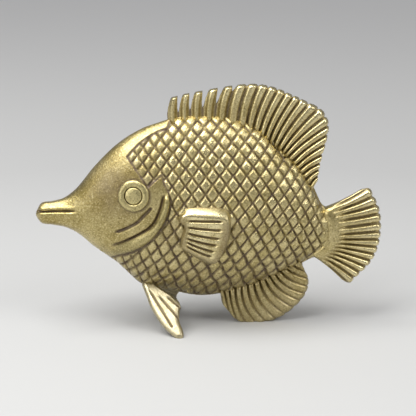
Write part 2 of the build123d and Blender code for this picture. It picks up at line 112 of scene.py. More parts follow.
# place along the length, lowest and highest point up the height, half thickness
body_section_shares = np.array([
    (0.000, 0.451, 0.509, 0.16),
    (0.016, 0.432, 0.535, 0.22),
    (0.059, 0.418, 0.550, 0.26),
    (0.098, 0.405, 0.569, 0.31),
    (0.137, 0.374, 0.617, 0.40),
    (0.196, 0.293, 0.733, 0.56),
    (0.275, 0.197, 0.860, 0.735),
    (0.353, 0.077, 0.942, 0.87),
    (0.451, 0.035, 0.992, 0.955),
    (0.559, 0.000, 1.000, 1.00),
    (0.667, 0.022, 0.986, 0.97),
    (0.765, 0.068, 0.932, 0.88),
    (0.843, 0.125, 0.819, 0.75),
    (0.902, 0.172, 0.724, 0.60),
    (0.947, 0.207, 0.607, 0.46),
    (0.974, 0.216, 0.516, 0.37),
    (1.000, 0.226, 0.491, 0.31),
])
widest_share = 0.47
oval_power = 0.5
lens_gain = 0.13  # how much leaner than an oval a section is behind the head
lens_start, lens_reach = 0.15, 0.3  # shares of the length over which the sections change
print(len(body_section_shares), "sections from x =", round(float(nose_x), 1), "mm")

# %% Smooth curves


def smooth_rows(rows, places):
    """The rows of a table at any places, on a smooth curve through the given rows."""
    rows = np.asarray(rows, float)
    knots, values = rows[:, 0], rows[:, 1:]
    slopes = np.gradient(values, knots, axis=0)
    places = np.clip(np.asarray(places, float), knots[0], knots[-1])
    k = np.clip(np.searchsorted(knots, places) - 1, 0, len(knots) - 2)
    step = (knots[k + 1] - knots[k])[..., None]
    t = (places - knots[k])[..., None] / step
    return (
        (2 * t**3 - 3 * t**2 + 1) * values[k]
        + (t**3 - 2 * t**2 + t) * step * slopes[k]
        + (3 * t**2 - 2 * t**3) * values[k + 1]
        + (t**3 - t**2) * step * slopes[k + 1]
    )


def smooth_chain(points, count):
    """Evenly numbered places on a smooth curve through the points."""
    rows = np.column_stack([np.arange(len(points)), points])
    return smooth_rows(rows, np.linspace(0, len(points) - 1, count))


def rounded_chain(points, steps):
    """A smooth curve through the points, with so many steps from each to the next."""
    return smooth_chain(points, steps * (len(points) - 1) + 1)


thickest = float(smooth_rows(body_section_shares, np.linspace(0, 1, 500))[:, 2].max())
print("the thickest section is", round(thickest * body_thickness, 1), "mm through")

# %% The flank as a formula


def body_section(x):
    """Lowest and highest point, height of the fattest point and half thickness at a place along the fish."""
    low, high, fat = np.moveaxis(smooth_rows(body_section_shares, (x - nose_x) / body_length), -1, 0)
    bottom = belly_z + low * body_height
    top = belly_z + high * body_height
    return bottom, top, bottom + widest_share * (top - bottom), fat * body_thickness / 2


def section_power(x):
    """How full a section is: one half is an oval, more is leaner towards the edges, like a lens."""
    share = (x - nose_x) / body_length
    return oval_power + lens_gain * np.clip((share - lens_start) / lens_reach, 0, 1)


def flank(x, z):
    """Distance of the smooth flank from the middle plane, nothing outside the outline."""
    bottom, top, middle, half = body_section(x)
    reach = np.where(z > middle, top - middle, middle - bottom)
    return half * np.clip(1 - ((z - middle) / reach) ** 2, 0, None) ** section_power(x)


search_rounds = 40
search_step = 0.4  # share of the way to the flank that each round goes


def on_flank(pixel):
    """(x, z) of the place on the near flank that a pixel of the picture shows."""
    line = sight_line(pixel)
    y = -body_thickness / 4
    for _ in range(search_rounds):
        x, _, z = camera_place + line * (y - camera_place[1]) / line[1]
        y += search_step * (-flank(np.array(x), np.array(z)) - y)
    return x, z


snout_tip_pixel = (45, 211.6)
print("near the snout's tip", [round(float(c), 1) for c in on_flank(snout_tip_pixel)], "mm")

# %% [markdown]
# ## Meshes from numbers
# Every piece is a grid of points, either wrapped around the body or laid on a fin, with two numbers at each
# point for the finish: how deep it sits in a groove, where patina stays and where shade is painted, and how
# much it is rubbed bright.
# A modifier could displace a plain mesh, but numbers made here shape the metal and colour it in the same
# place.

# %% Pieces from points and faces
pieces = {}
crease_degrees = 100  # sharper edges than this are shaded as creases


def grid_quads(index):
    """The faces of a grid of vertex numbers."""
    corners = index[:-1, :-1], index[1:, :-1], index[1:, 1:], index[:-1, 1:]
    return np.stack([c.ravel() for c in corners], axis=1)


def face_outwards(mesh):
    """Turns every face of a closed mesh so that it looks out of the metal."""
    shell = bmesh.new()
    shell.from_mesh(mesh)
    bmesh.ops.recalc_face_normals(shell, faces=shell.faces)
    shell.to_mesh(mesh)
    shell.free()


def make_piece(name, points, faces, patina_and_shade, rubbed):
    """A mesh piece, in millimetres, with its two finish numbers."""
    mesh = bpy.data.meshes.new(name)
    mesh.from_pydata((points * MM).tolist(), [], faces)
    face_outwards(mesh)
    for label, values in (("patina_and_shade", patina_and_shade), ("rubbed", rubbed)):
        layer = mesh.attributes.new(label, "FLOAT", "POINT")
        layer.data.foreach_set("value", np.clip(values, 0, 1).astype(np.float32))
    mesh.polygons.foreach_set("use_smooth", np.ones(len(mesh.polygons), bool))
    mesh.set_sharp_from_angle(angle=math.radians(crease_degrees))
    mesh.update()
    piece = bpy.data.objects.new(name, mesh)
    bpy.context.scene.collection.objects.link(piece)
    pieces[name] = piece
    print(name, len(points), "points,", len(faces), "faces")


def mirrored(points):
    """The same points on the fish's other side."""
    return points * np.array([1.0, -1.0, 1.0])


def make_pair(name, points, faces, patina_and_shade, rubbed):
    """A left piece and its mirror image on the right."""
    make_piece(name + "_left", points, faces, patina_and_shade, rubbed)
    make_piece(name + "_right", mirrored(points), [f[::-1] for f in faces], patina_and_shade, rubbed)


print("edges sharper than", crease_degrees, "degrees stay creases")

# %% Sheets with a front and a back


def sheet_faces(index):
    """The faces of one side of a sheet; corner faces are cut inwards, clear of the other side."""
    quads = grid_quads(index).tolist()
    across = index.shape[1] - 1
    corner_turns = {0: 0, across - 1: 1, len(quads) - across: 1, len(quads) - 1: 0}
    faces = []
    for number, quad in enumerate(quads):
        if number in corner_turns:
            turn = corner_turns[number]
            a, b, c, d = quad[turn:] + quad[:turn]
            faces += [[a, b, c], [a, c, d]]
        else:
            faces.append(quad)
    return faces


def closed_sheet(front, back):
    """Points and faces of a front and a back grid that share their border."""
    rows, columns = front.shape[:2]
    front_index = np.arange(rows * columns).reshape(rows, columns)
    back_index = front_index.copy()
    inside = np.s_[1:-1, 1:-1]
    back_index[inside] = rows * columns + np.arange((rows - 2) * (columns - 2)).reshape(rows - 2, columns - 2)
    points = np.concatenate([front.reshape(-1, 3), back[inside].reshape(-1, 3)])
    faces = sheet_faces(front_index) + [f[::-1] for f in sheet_faces(back_index)]
    return points, faces


def for_closed_sheet(front_values, back_values):
    """The finish numbers of a closed sheet, in the order of its points."""
    return np.concatenate([front_values.ravel(), back_values[1:-1, 1:-1].ravel()])


def make_sheet_pair(name, front, back, patina_and_shade, rubbed_front, rubbed_back):
    """A left and a right piece from a front and a back grid."""
    points, faces = closed_sheet(front, back)
    rubbed = for_closed_sheet(rubbed_front, rubbed_back)
    make_pair(name, points, faces, for_closed_sheet(patina_and_shade, patina_and_shade), rubbed)


small_sheet = np.zeros((3, 3, 3))
print("a sheet of 3 by 3 points closes with", len(closed_sheet(small_sheet, small_sheet)[1]), "faces")

# %% Soft steps


def ease(low, high, value):
    """0 below low, 1 above high, and a smooth step between."""
    t = np.clip((value - low) / (high - low), 0, 1)
    return t * t * (3 - 2 * t)


def fall(low, high, value):
    """1 below low, 0 above high, and a smooth step between."""
    return 1 - ease(low, high, value)


def quarter_round(share):
    """Rises from 0 to 1 as a quarter circle while share goes from 0 to 1, and stays there."""
    return np.sqrt(np.clip(1 - np.clip(1 - share, 0, 1) ** 2, 0, 1))


print("a quarter of the way up, a soft step is at", float(ease(0, 1, 0.25)))

# %% [markdown]
# ## Engraving on the flank
# The scales are two families of hand-cut lines that cross into diamonds. The cutter followed the curve of
# the flank, so the lines bend a little towards the belly and tighten towards the tail. One formula counts
# the lines of each family; the distance to the nearest whole number is the distance to the nearest groove.
# A bump texture could draw the same lines, but grooves that are only shaded vanish along the body's
# outline.

# %% Line families
line_jitter_share = 0.045  # how far a line strays from even spacing
rising_spacing = 1.80  # millimetres
falling_spacing = 2.05
scales_middle_z = 20
scales_half_length, scales_half_height = 15, 12


def scaled_place(x, z):
    """A place on the flank, measured from the middle of the scales in their half length and half height."""
    return x / scales_half_length, (z - scales_middle_z) / scales_half_height


def rising_lines(x, z):
    """Counts the lines that rise towards the tail."""
    a, b = scaled_place(x, z)
    straight = 0.135 + 6.422 * a - 4.264 * b
    bend = 0.14 * a * b - 0.12 * a**2 + 0.21 * b**2
    return straight + bend + 0.115 * a**3 - 0.54 * a**2 * b + 0.16 * a * b**2 - 0.21 * b**3


def falling_lines(x, z):
    """Counts the lines that fall towards the tail."""
    a, b = scaled_place(x, z)
    straight = 0.141 + 6.168 * a + 2.977 * b
    bend = -0.18 * a**2 + 0.587 * b**2
    return straight + bend + 0.793 * a**3 + 0.422 * a**2 * b + 0.05 * a * b**2 + 0.14 * b**3


def from_line(count, spacing, seed):
    """Distance in millimetres to the nearest line of a family, and the number of the strip between lines."""
    wander = line_jitter_share * np.sin(12.9898 * np.round(count) + seed)
    off = count - np.round(count) - wander
    strip = np.floor(count - wander)
    return np.abs(off) * spacing, strip


lines_across = rising_lines(18, 15) - rising_lines(-14, 15)
print("rising lines", round(float(lines_across)), "across the middle of the flank")

# %% Distances on the flank


def path_distance(path, x, z):
    """Distance to a chain of points, and how far along the chain the nearest place is, from 0 to 1."""
    path = np.asarray(path, float)
    steps = np.hypot(*np.diff(path, axis=0).T)
    starts = np.concatenate([[0], np.cumsum(steps)])
    best = np.full(x.shape, np.inf)
    along = np.zeros(x.shape)
    for (ax, az), (bx, bz), length, start in zip(path, path[1:], steps, starts):
        t = np.clip(((x - ax) * (bx - ax) + (z - az) * (bz - az)) / length**2, 0, 1)
        gap = np.hypot(x - ax - t * (bx - ax), z - az - t * (bz - az))
        nearer = gap < best
        best = np.where(nearer, gap, best)
        along = np.where(nearer, (start + t * length) / starts[-1], along)
    return best, along


def inside_outline(outline, x, z):
    """Whether places lie inside a closed chain of points."""
    inside = np.zeros(x.shape, bool)
    for (ax, az), (bx, bz) in zip(outline, np.roll(outline, -1, axis=0)):
        crosses = (az > z) != (bz > z)
        inside ^= crosses & (x < (bx - ax) * (z - az) / (bz - az + 1e-12) + ax)
    return inside


level_line = [(-10, 20), (10, 20)]
gap_to_line, _ = path_distance(level_line, np.array(0), np.array(25))
print("from (0, 25) to a level line at 20:", float(gap_to_line), "mm")

# %% [markdown]
# ## Where the carving goes
# The edge of the scales, the gill grooves and the mouth are read off the picture and followed onto
# the flank. The rest of the head stays smooth, as the real one is. Curves could be projected onto the mesh
# and cut into it. As chains of points they need no cutting: the distance to a chain shapes a groove and its
# patina.

# %% Carved lines on the head
scale_edge_pixels = [
    (170, 119), (167, 128), (157, 132), (148, 137), (140, 143), (134, 149), (127, 157), (132.5, 165),
    (137.7, 173), (141.7, 179), (147.5, 188), (155, 181), (162, 175), (164, 184), (168, 192), (171, 202),
    (169, 211), (167, 218), (164, 225), (159, 233), (152, 241), (145, 247), (137, 251), (127, 255),
    (112, 257),
]
inner_gill_pixels = [
    (113, 233.5), (122, 230.5), (130, 227), (137, 223), (142, 218), (147, 213), (152.5, 206.5),
]
outer_gill_pixels = [
    (109, 247), (119, 244), (130, 239.5), (141, 234), (149, 229), (154.5, 223), (158, 216), (161, 208),
    (163, 200), (164.5, 193),
]
gill_rear_pixels = [
    (112, 256.5), (120, 255.5), (128, 253.5), (137, 250), (145.5, 245.5), (152, 240), (158.5, 232.5),
    (164, 224.5), (167.5, 217), (169.5, 210), (170.5, 202), (168.5, 193),
]
scale_edge = np.array([on_flank(p) for p in scale_edge_pixels])
gill_steps = 8  # from one pixel to the next
inner_gill, outer_gill, gill_rear = (
    rounded_chain([on_flank(p) for p in pixels], gill_steps)
    for pixels in (inner_gill_pixels, outer_gill_pixels, gill_rear_pixels)
)
# a gill groove's path, half width and depth
gill_grooves = [(inner_gill, 0.46, 0.46), (outer_gill, 0.46, 0.46), (gill_rear, 0.42, 0.20)]
# the scaled area runs from its edge round everything behind it
scaled_area = np.concatenate([scale_edge, [(-14, 0), (40, 0), (40, 50), (scale_edge[0][0], 50)]])
mouth_rear_pixel = (78, 211.7)
mouth_overrun = 1.5  # how far the slit runs out past the tip, in its own lengths
mouth = np.array([on_flank(snout_tip_pixel), on_flank(mouth_rear_pixel)])
mouth[0] += mouth_overrun * (mouth[0] - mouth[1])
print("scale edge", len(scale_edge), "points; gill grooves", len(inner_gill), len(outer_gill))

# %% Eye and painted shade
eye_x, _, eye_z = (np.array(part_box("eye_ring_left")) / MM).mean(axis=0)
eye_radius = 2.75
# painted shade, darker patches where shade falls round the pectoral fin, the belly and the eye: a pixel of
# the picture, its reach in millimetres and its strength
shade_hazes = [
    ((117, 190), 3.6, 0.48),  # in front of the eye
    ((175, 238), 2.4, 0.30),  # between the gill and the pectoral fin
    ((196, 271), 2.4, 0.24),  # under the pectoral fin
    ((232, 232), 1.8, 0.24),  # behind the pectoral fin
    ((150, 268), 3.0, 0.20),  # along the front of the belly
]
print("eye at", round(float(eye_x), 1), round(float(eye_z), 1), "mm;", len(shade_hazes), "hazes of patina")

# %% Relief of the scales
scale_groove_depth = 0.22
scale_groove_half = 0.26
scale_pillow = 0.30  # how far a scale falls from its middle to its edges
scale_unevenness = 0.06
scale_dome_power = 3.5
scale_edge_depth, scale_edge_half = 0.16, 0.24  # the line along the edge of the scales
underside_heights = 7.0, 17.0  # below the first the scales are fully rough and fully darkened as painted shade, above the second neither
scales_end = 19.0, 20.6  # where they run out at the tail root


def carve_scales(x, z):
    """Height of the scales over the smooth flank, and the two finish numbers."""
    edge_gap, _ = path_distance(scale_edge, x, z)
    scaled = np.where(inside_outline(scaled_area, x, z), ease(0.0, 0.25, edge_gap), 0.0)
    underside = fall(*underside_heights, z)  # cut more roughly, and painted darker and less bright as shade
    # a hand-cut line wavers, most of all on the underside
    wobble = 0.015 * np.sin(0.9 * x + 0.5 * z) + (0.015 + 0.05 * underside) * np.sin(1.7 * z - 0.6 * x + 1.0)
    rising, strip_a = from_line(rising_lines(x, z) + wobble, rising_spacing, 0.7)
    falling, strip_b = from_line(falling_lines(x, z) - wobble, falling_spacing, 2.1)
    nearest = np.minimum(rising, falling)
    cut = fall(0.0, scale_groove_half, nearest)
    # a number from 0 to 1 that is the same all over one scale
    pad_noise = np.sin(strip_a * 78.233 + strip_b * 37.719) * 43758.5453
    pad_noise = pad_noise - np.floor(pad_noise)
    dome = 1 - (1 - np.clip(rising / rising_spacing * 2, 0, 1)) ** scale_dome_power
    dome = dome * (1 - (1 - np.clip(falling / falling_spacing * 2, 0, 1)) ** scale_dome_power)
    pillow = scale_pillow * (dome - 1) + scale_unevenness * (pad_noise - 0.5)
    height = scaled * (pillow - scale_groove_depth * cut)
    # patina lies in patches in the grooves, and wear on the domes
    patchy = 0.72 + 0.28 * np.sin(1.3 * x + 2.1 * z) * np.sin(0.8 * x - 1.9 * z + 1.0)
    # painted shade towards the belly: the dark spreads wider from the grooves, tints every scale a little,
    # and the rubbed brightness is halved
    patina_and_shade = scaled * patchy * fall(0.03, 0.30 + 0.16 * underside, nearest)
    patina_and_shade = np.maximum(patina_and_shade, 0.18 * underside * scaled)
    rubbed = scaled * (0.25 + 0.75 * pad_noise) * ease(0.25, 0.75, dome) * (1 - 0.5 * underside)

    tail_fade = fall(*scales_end, x)
    height, patina_and_shade = height * tail_fade, patina_and_shade * tail_fade

    height -= scale_edge_depth * fall(0.0, scale_edge_half, edge_gap)
    patina_and_shade = np.maximum(patina_and_shade, 0.8 * fall(0.05, 0.35, edge_gap))
    return height, patina_and_shade, rubbed


flank_line = np.linspace(-10, 18, 400)
scale_heights = carve_scales(flank_line, np.full(flank_line.shape, scales_middle_z))[0]
print("scales from", round(float(scale_heights.min()), 2), "to", round(float(scale_heights.max()), 2), "mm")

# %% Relief of the head
mouth_depth, mouth_half = 0.38, 0.28
lip_swell = 0.12


def carve_flank(x, z):
    """Height of the whole relief over the smooth flank, and the two finish numbers."""
    height, patina_and_shade, rubbed = carve_scales(x, z)
    for path, half, depth in gill_grooves:
        gap, along = path_distance(path, x, z)
        fade = ease(0.0, 0.12, along) * fall(0.92, 1.0, along)
        height -= depth * fade * fall(0.0, half, gap)
        patina_and_shade = np.maximum(patina_and_shade, fade * fall(0.08, half * 0.9, gap))

    # painted shade: a dark ring on the head just outside the raised eye ring, where it shades the head
    eye_gap = np.hypot(x - eye_x, z - eye_z) - eye_radius
    patina_and_shade = np.maximum(patina_and_shade, 0.55 * fall(0.05, 0.5, eye_gap))

    # painted shade: each haze darkens the flank with the patina's brown, as if shade fell there
    for pixel, reach, strength in shade_hazes:
        haze_x, haze_z = on_flank(pixel)
        painted_shade = np.exp(-((x - haze_x) ** 2 + (z - haze_z) ** 2) / (2 * reach**2))
        patina_and_shade = np.maximum(patina_and_shade, strength * painted_shade)

    gap, along = path_distance(mouth, x, z)
    fade = fall(0.90, 1.0, along)
    height -= mouth_depth * fade * fall(0.0, mouth_half, gap)
    height += lip_swell * fade * ease(0.22, 0.42, gap) * fall(0.5, 1.1, gap)
    patina_and_shade = np.maximum(patina_and_shade, fade * fall(0.03, 0.24, gap))
    return height, patina_and_shade, rubbed


slit_height = carve_flank(*(np.array(c) for c in on_flank(snout_tip_pixel)))[0]
print("the mouth's slit is", round(-float(slit_height), 2), "mm deep near the tip")

# %% [markdown]
# ## Body halves
# The casting is two shells soldered along the middle. Each half is a grid that runs from nose to tail and
# from the back round the flank to the belly. Points are spaced evenly round the section, about a seventh of
# a millimetre apart, so that a groove is a few points wide and its walls are real geometry. A whole body
# could be cut in two. Carving one half and mirroring it is simpler, and keeps the two sides alike.

# %% Spacing of the body grid
body_columns, body_rows = 352, 268
angle = np.linspace(0, math.pi, 2001)
oval_step = np.hypot(body_thickness * np.cos(angle), body_height * np.sin(angle))
oval_length = np.cumsum(oval_step) - oval_step[0]
row_angle = np.interp(np.linspace(0, oval_length[-1], body_rows), oval_length, angle)

lip_round = 1.1  # how far back from the tip the lips are rounded
lip_columns = 14
lip_start = 0.12  # radians; leaves a small flat at the tip
lip_turn = np.linspace(lip_start, math.pi / 2, lip_columns, endpoint=False)
column_x = np.concatenate([
    nose_x + lip_round * (1 - np.cos(lip_turn)),
    np.linspace(nose_x + lip_round, nose_x + body_length, body_columns - lip_columns),
])
print("columns", round(float(column_x[-1] - column_x[-2]), 3), "mm apart")

# %% Smooth half
crest_rise = 0.6  # the scales climb this far up the foot of the dorsal fin
crest_starts, crest_stops = (0.40, 0.52), (0.62, 0.82)  # shares of the length
bottom, top, middle, half = (v[:, None] for v in body_section(column_x))
column_share = ((column_x - nose_x) / body_length)[:, None]
top = top + crest_rise * ease(*crest_starts, column_share) * fall(*crest_stops, column_share)
lip = quarter_round((column_x - nose_x) / lip_round)[:, None]
tail_round = 0.5  # the shell's rear end dips under the tail fin
tail_pinch = 0.6
shell_end = np.clip((column_x - nose_x - body_length + tail_round) / tail_round, 0, 1)
half = half * (1 - tail_pinch * shell_end**2)[:, None]
up = np.cos(row_angle)[None, :]
body_x = np.broadcast_to(column_x[:, None], (body_columns, body_rows))
body_z = middle + lip * np.where(up > 0, top - middle, middle - bottom) * up
body_y = -lip * half * np.abs(np.sin(row_angle)[None, :]) ** (2 * section_power(column_x))[:, None]
smooth_body = np.stack([body_x, body_y, body_z], axis=-1)
print("smooth half", round(float(-body_y.min()), 2), "mm thick")

# %% Carved halves


def grid_normals(grid):
    """Unit normals of a grid of points."""
    normals = np.cross(np.gradient(grid, axis=1), np.gradient(grid, axis=0))
    return normals / np.maximum(np.linalg.norm(normals, axis=-1, keepdims=True), 1e-12)


inside_point = np.array([0, 4.0, 20.0])  # behind the whole left flank, so outwards is away from it
body_normals = grid_normals(smooth_body)
body_normals *= np.sign(np.sum(body_normals * (smooth_body - inside_point), axis=-1).mean())
# the first finish number holds the grooves' patina and the shade painted on the flank
relief, body_patina_and_shade, body_rubbed = carve_flank(body_x, body_z)
seam_fade = ease(0.15, 0.9, -body_y)  # the seam was filed smooth
body_patina_and_shade = body_patina_and_shade * ease(0.0, 0.7, -body_y)
carved_body = smooth_body + body_normals * (relief * seam_fade)[..., None]
carved_body[:, 0, 1] = carved_body[:, -1, 1] = 0.0

body_index = np.arange(body_columns * body_rows).reshape(body_columns, body_rows)
around = np.concatenate([body_index, body_index[:, :1]], axis=1)
body_faces = grid_quads(around).tolist() + [body_index[0, ::-1].tolist(), body_index[-1].tolist()]
make_pair("brass_body", carved_body.reshape(-1, 3), body_faces, body_patina_and_shade.ravel(), body_rubbed.ravel())

# %% [markdown]
# ## Rayed fins
# The dorsal, anal and tail fins are fans of ridges with a thin web between them. A fin is described by its
# rays: where each leaves the body and where it ends. A grid runs along the rays, swells on each ray, sinks
# between two rays, and dips at the rim so that every ray ends in its own rounded tip. Each ray could be a
# bevelled curve, but in a casting ray and web run into each other without a seam, and one grid gives that.

# %% Roots of the rays
bottom_edge, top_edge = 0, 1  # places in what body_section gives


def rays_from_body(body_edge, longest):
    """The function that gives the roots, on the back or the belly, and the tips of a fin's rays."""
    way = 1 if body_edge == top_edge else -1

    def roots_and_tips(rows):
        along, back, away = np.moveaxis(rows, -1, 0)
        x = nose_x + along * body_length
        root = np.stack([x, body_section(x)[body_edge]], axis=1)
        return root, root + longest * np.stack([back, way * away], axis=1)

    return roots_and_tips


first_root, _ = rays_from_body(top_edge, longest=1.0)(np.array([(0.5, 0.0, 1.0)]))
print("a ray half way along the back starts", round(float(first_root[0, 1]), 1), "mm up")

# %% Fin builder
# What a fin's look says, with lengths in millimetres:
# edge is the room outside its first and last ray, in rays, and corner how far the rim falls there;
# notch is how far the rim dips between two rays, and spines is 1 where the first rays stand free;
# corner_power and notch_power say how suddenly the rim falls: the higher, the later;
# bow bends the rays, and root_depth is how far the root reaches into its slot in the body;
# root_half, rim_half and web_half are half thicknesses, and swell is added to the first of them;
# ridge is the breadth of a ray's crown as a share of the way to the next, and round how far its sides fall;
# groove_start and groove_ramp are the shares of a ray where the grooves start and over which they deepen;
# tip_round is the share of a ray that rounds off at its tip; stain and wear are for the finish, and
# even_darkening is the least darkening over the whole fin.
points_per_ray = 14
points_along_ray = 44
rim_crowding = 0.85  # under one, the points lie closer together towards the rim
root_bend = 0.8  # how much of the way into the slot the second row of points goes
ridge_slope = 0.4  # how far a crown's slope runs down to the web, measured like its breadth
swell_reach = 0.32  # share of a ray over which the swollen root thins out
least_side = 0.35  # the sides of a ray keep at least this share of its thickness
end_start = 0.35  # where the room outside the outer rays starts to round off
spine_rays = 3.2, 5.2  # rays before the first number stand free, rays after the second are webbed
spine_gap = 2.7  # depth of the gaps between free spines
spine_gap_sides = 0.54, 0.96  # where a gap starts and is deepest on the way between two spines
spine_round = 1.3  # how much further the sides of a spine fall


def rayed_fin(name, ray_shares, count, root_and_tip, look):
    """A fin on the middle plane, from its rays and its look."""
    # the rays, with some room outside the first and the last
    edge = look["edge"]
    columns = int((count - 1 + 2 * edge) * points_per_ray) + 1
    ray = np.linspace(-edge, count - 1 + edge, columns)
    place = ray / (count - 1)
    spare = (ray - np.clip(ray, 0, count - 1))[:, None]
    first, last = np.searchsorted(ray, [0.5, count - 1.5])

    def spread(ends):
        """The rays' roots or tips, carried on into the room outside the first and the last."""
        step = np.gradient(ends, ray, axis=0)
        return ends + spare * np.where(spare < 0, step[first], step[last])

    root, tip = (spread(ends) for ends in root_and_tip(smooth_rows(ray_shares, np.clip(place, 0, 1))))
    spine = look["spines"] * fall(*spine_rays, ray)

    # how far the rim dips between two rays and at the fin's two ends
    between = np.abs(ray - np.round(ray)) * 2
    notch = look["notch"] * between ** look["notch_power"]
    notch = notch + spine_gap * spine * ease(*spine_gap_sides, between)
    outermost = np.abs(spare[:, 0]) / edge
    notch = np.maximum(notch, look["corner"] * outermost**look["corner_power"])
    length = np.linalg.norm(tip - root, axis=1)
    reach = 1 - notch / np.maximum(length, 1e-6)

    # the fin's places on the middle plane, with the root bent into its slot
    w = np.linspace(0, 1, points_along_ray) ** rim_crowding
    across = np.stack([-(tip - root)[:, 1], (tip - root)[:, 0]], axis=1)
    run = w[None, :] * reach[:, None]
    bow = look["bow"](place)[:, None] * 4 * run * (1 - run)
    flat = root[:, None] + run[..., None] * (tip - root)[:, None] + bow[..., None] * across[:, None]
    start = (tip - root) + 4 * look["bow"](place)[:, None] * across
    inward = -start / np.maximum(np.linalg.norm(start, axis=1), 1e-6)[:, None]
    flat[:, 0] += look["root_depth"] * inward
    flat[:, 1] += root_bend * look["root_depth"] * inward

    # half its thickness: ridges, the web between them, and rounded tips and sides
    ridge = fall(look["ridge"], look["ridge"] + ridge_slope, between)[:, None]
    starts = ease(look["groove_start"], look["groove_start"] + look["groove_ramp"], run)
    sunk = (1 - ridge) * starts
    blade = look["root_half"] + (look["rim_half"] - look["root_half"]) * ease(0, 1, run)
    swell = np.broadcast_to(look["swell"](place), place.shape)[:, None]
    blade = blade + swell * fall(0.0, swell_reach, run)
    half = blade - (blade - look["web_half"]) * sunk
    ray_sides = np.clip(1 - (look["round"] + spine_round * spine) * between**2, least_side, 1)[:, None]
    half *= 1 - (1 - ray_sides) * starts
    tip_round = fall(0, 1, (1 - w) / look["tip_round"])
    half *= np.sqrt(np.clip(1 - tip_round[None, :] ** 2, 0, 1))
    fin_end = np.clip((outermost - end_start) / (1 - end_start), 0, 1)
    half *= np.sqrt(np.clip(1 - fin_end**2, 0, 1))[:, None]
    half[:, 0] = half[:, -1] = 0
    half[0] = half[-1] = 0

    front = np.stack([flat[..., 0], -half, flat[..., 1]], axis=-1)
    front[..., 2] = np.maximum(front[..., 2], 0)
    # the number never falls below a least value, which darkens the whole fin evenly
    patina_and_shade = np.maximum(look["stain"] * sunk * (1 - 0.5 * ease(0.85, 1, run)), look["even_darkening"])
    rubbed = look["wear"] * ridge * ease(0.25, 1.0, run)
    points, faces = closed_sheet(front, mirrored(front))
    make_piece(name, points, faces, for_closed_sheet(patina_and_shade, patina_and_shade), for_closed_sheet(rubbed, rubbed))


print("a ray is", points_per_ray, "points wide and", points_along_ray, "points long")

# %% [markdown]
# ## Dorsal fin
# Twenty-three rays fan along the back. The first five are short spines with open gaps between their tips;
# the longest lean back over the tail root. Each ray could be placed by itself. A dozen listed, with a
# smooth curve for those between, are enough, because neighbours on the real comb change little by little.

# %% Dorsal fin
dorsal_height = 9.2
dorsal_rays = 23
# place in the fin, root along the body, then the tip's way back and up in parts of the longest ray
dorsal_ray_shares = [
    (0.00, 0.467, 0.03, 0.44),
    (0.09, 0.546, 0.04, 0.52),
    (0.18, 0.627, 0.14, 0.63),
    (0.27, 0.699, 0.20, 0.74),
    (0.36, 0.747, 0.31, 0.77),
    (0.45, 0.784, 0.41, 0.78),
    (0.545, 0.815, 0.53, 0.80),
    (0.636, 0.842, 0.73, 0.74),
    (0.68, 0.852, 0.77, 0.62),
    (0.773, 0.883, 0.59, 0.42),
    (0.864, 0.907, 0.36, 0.20),
    (1.00, 0.941, 0.10, 0.12),
]
dorsal_look = {
    "edge": 0.45, "corner": 0.7, "corner_power": 6, "notch": 0.4, "notch_power": 4, "spines": 1,
    "bow": lambda place: 0.05 - 0.02 * ease(0.1, 0.5, place),
    "root_depth": 1.2, "root_half": 0.95, "rim_half": 0.85, "web_half": 0.50,
    "ridge": 0.58, "groove_start": -0.15, "groove_ramp": 0.15, "tip_round": 0.10,
    "round": 0.48, "swell": lambda place: 0.3 * ease(0.2, 0.5, place),
    "stain": 0.75, "wear": 1.0, "even_darkening": 0.0,
}
dorsal_ends = rays_from_body(top_edge, dorsal_height)
rayed_fin("dorsal_comb", dorsal_ray_shares, dorsal_rays, dorsal_ends, dorsal_look)

# %% [markdown]
# ## Anal fin
# The fin under the tail is the fish's rear foot. Its rays are engraved lines on a plump lobe, and they
# sweep back in a curve. The lowest part is ground flat where it stands: a boolean could cut it, but lifting
# the points that fall below the floor needs no new edges. The fin builder serves again, because lobe and
# comb differ only in their numbers.

# %% Anal fin
anal_depth = 6.9
anal_rays = 14
# place in the fin, root along the body, then the tip's way back and down in parts of the longest ray
anal_ray_shares = [
    (0.00, 0.634, 0.08, 0.40),
    (0.12, 0.660, 0.20, 0.80),
    (0.28, 0.703, 0.44, 0.96),
    (0.46, 0.754, 0.64, 0.90),
    (0.62, 0.795, 0.78, 0.66),
    (0.76, 0.829, 0.74, 0.44),
    (0.88, 0.863, 0.52, 0.26),
    (1.00, 0.900, 0.13, 0.12),
]
anal_look = {
    "edge": 0.45, "corner": 0.5, "corner_power": 6, "notch": 0.16, "notch_power": 3, "spines": 0,
    "bow": lambda place: -0.10 * ease(0.0, 0.3, place) * fall(0.75, 1.0, place),
    "root_depth": 1.2, "root_half": 1.1, "rim_half": 0.8, "web_half": 0.69,
    "ridge": 0.56, "groove_start": -0.15, "groove_ramp": 0.15, "tip_round": 0.16,
    "round": 0.2, "swell": lambda place: 0.25,
    "stain": 0.55, "wear": 0.15, "even_darkening": 0.2,
}
anal_ends = rays_from_body(bottom_edge, anal_depth)
rayed_fin("anal_lobe", anal_ray_shares, anal_rays, anal_ends, anal_look)

# %% [markdown]
# ## Tail fin
# The fan grows out of the tail root: thick and smooth at first, then split into ridges with a scalloped
# rim. It could be cut from a flat sheet. The fin builder does it with two changes: the rays start one above
# the other on the tail root, and their grooves start late.

# %% Tail fin
tail_length = 9.1
tail_rays = 13
# place in the fin, root along the body and up it, then the tip's way back and up as for the dorsal fin
tail_ray_shares = [
    (0.00, 0.992, 0.480, 0.86, 0.36),
    (0.17, 0.999, 0.434, 0.98, 0.17),
    (0.36, 1.003, 0.349, 1.00, 0.06),
    (0.68, 0.986, 0.275, 0.96, -0.27),
    (1.00, 0.955, 0.226, 0.73, -0.56),
]


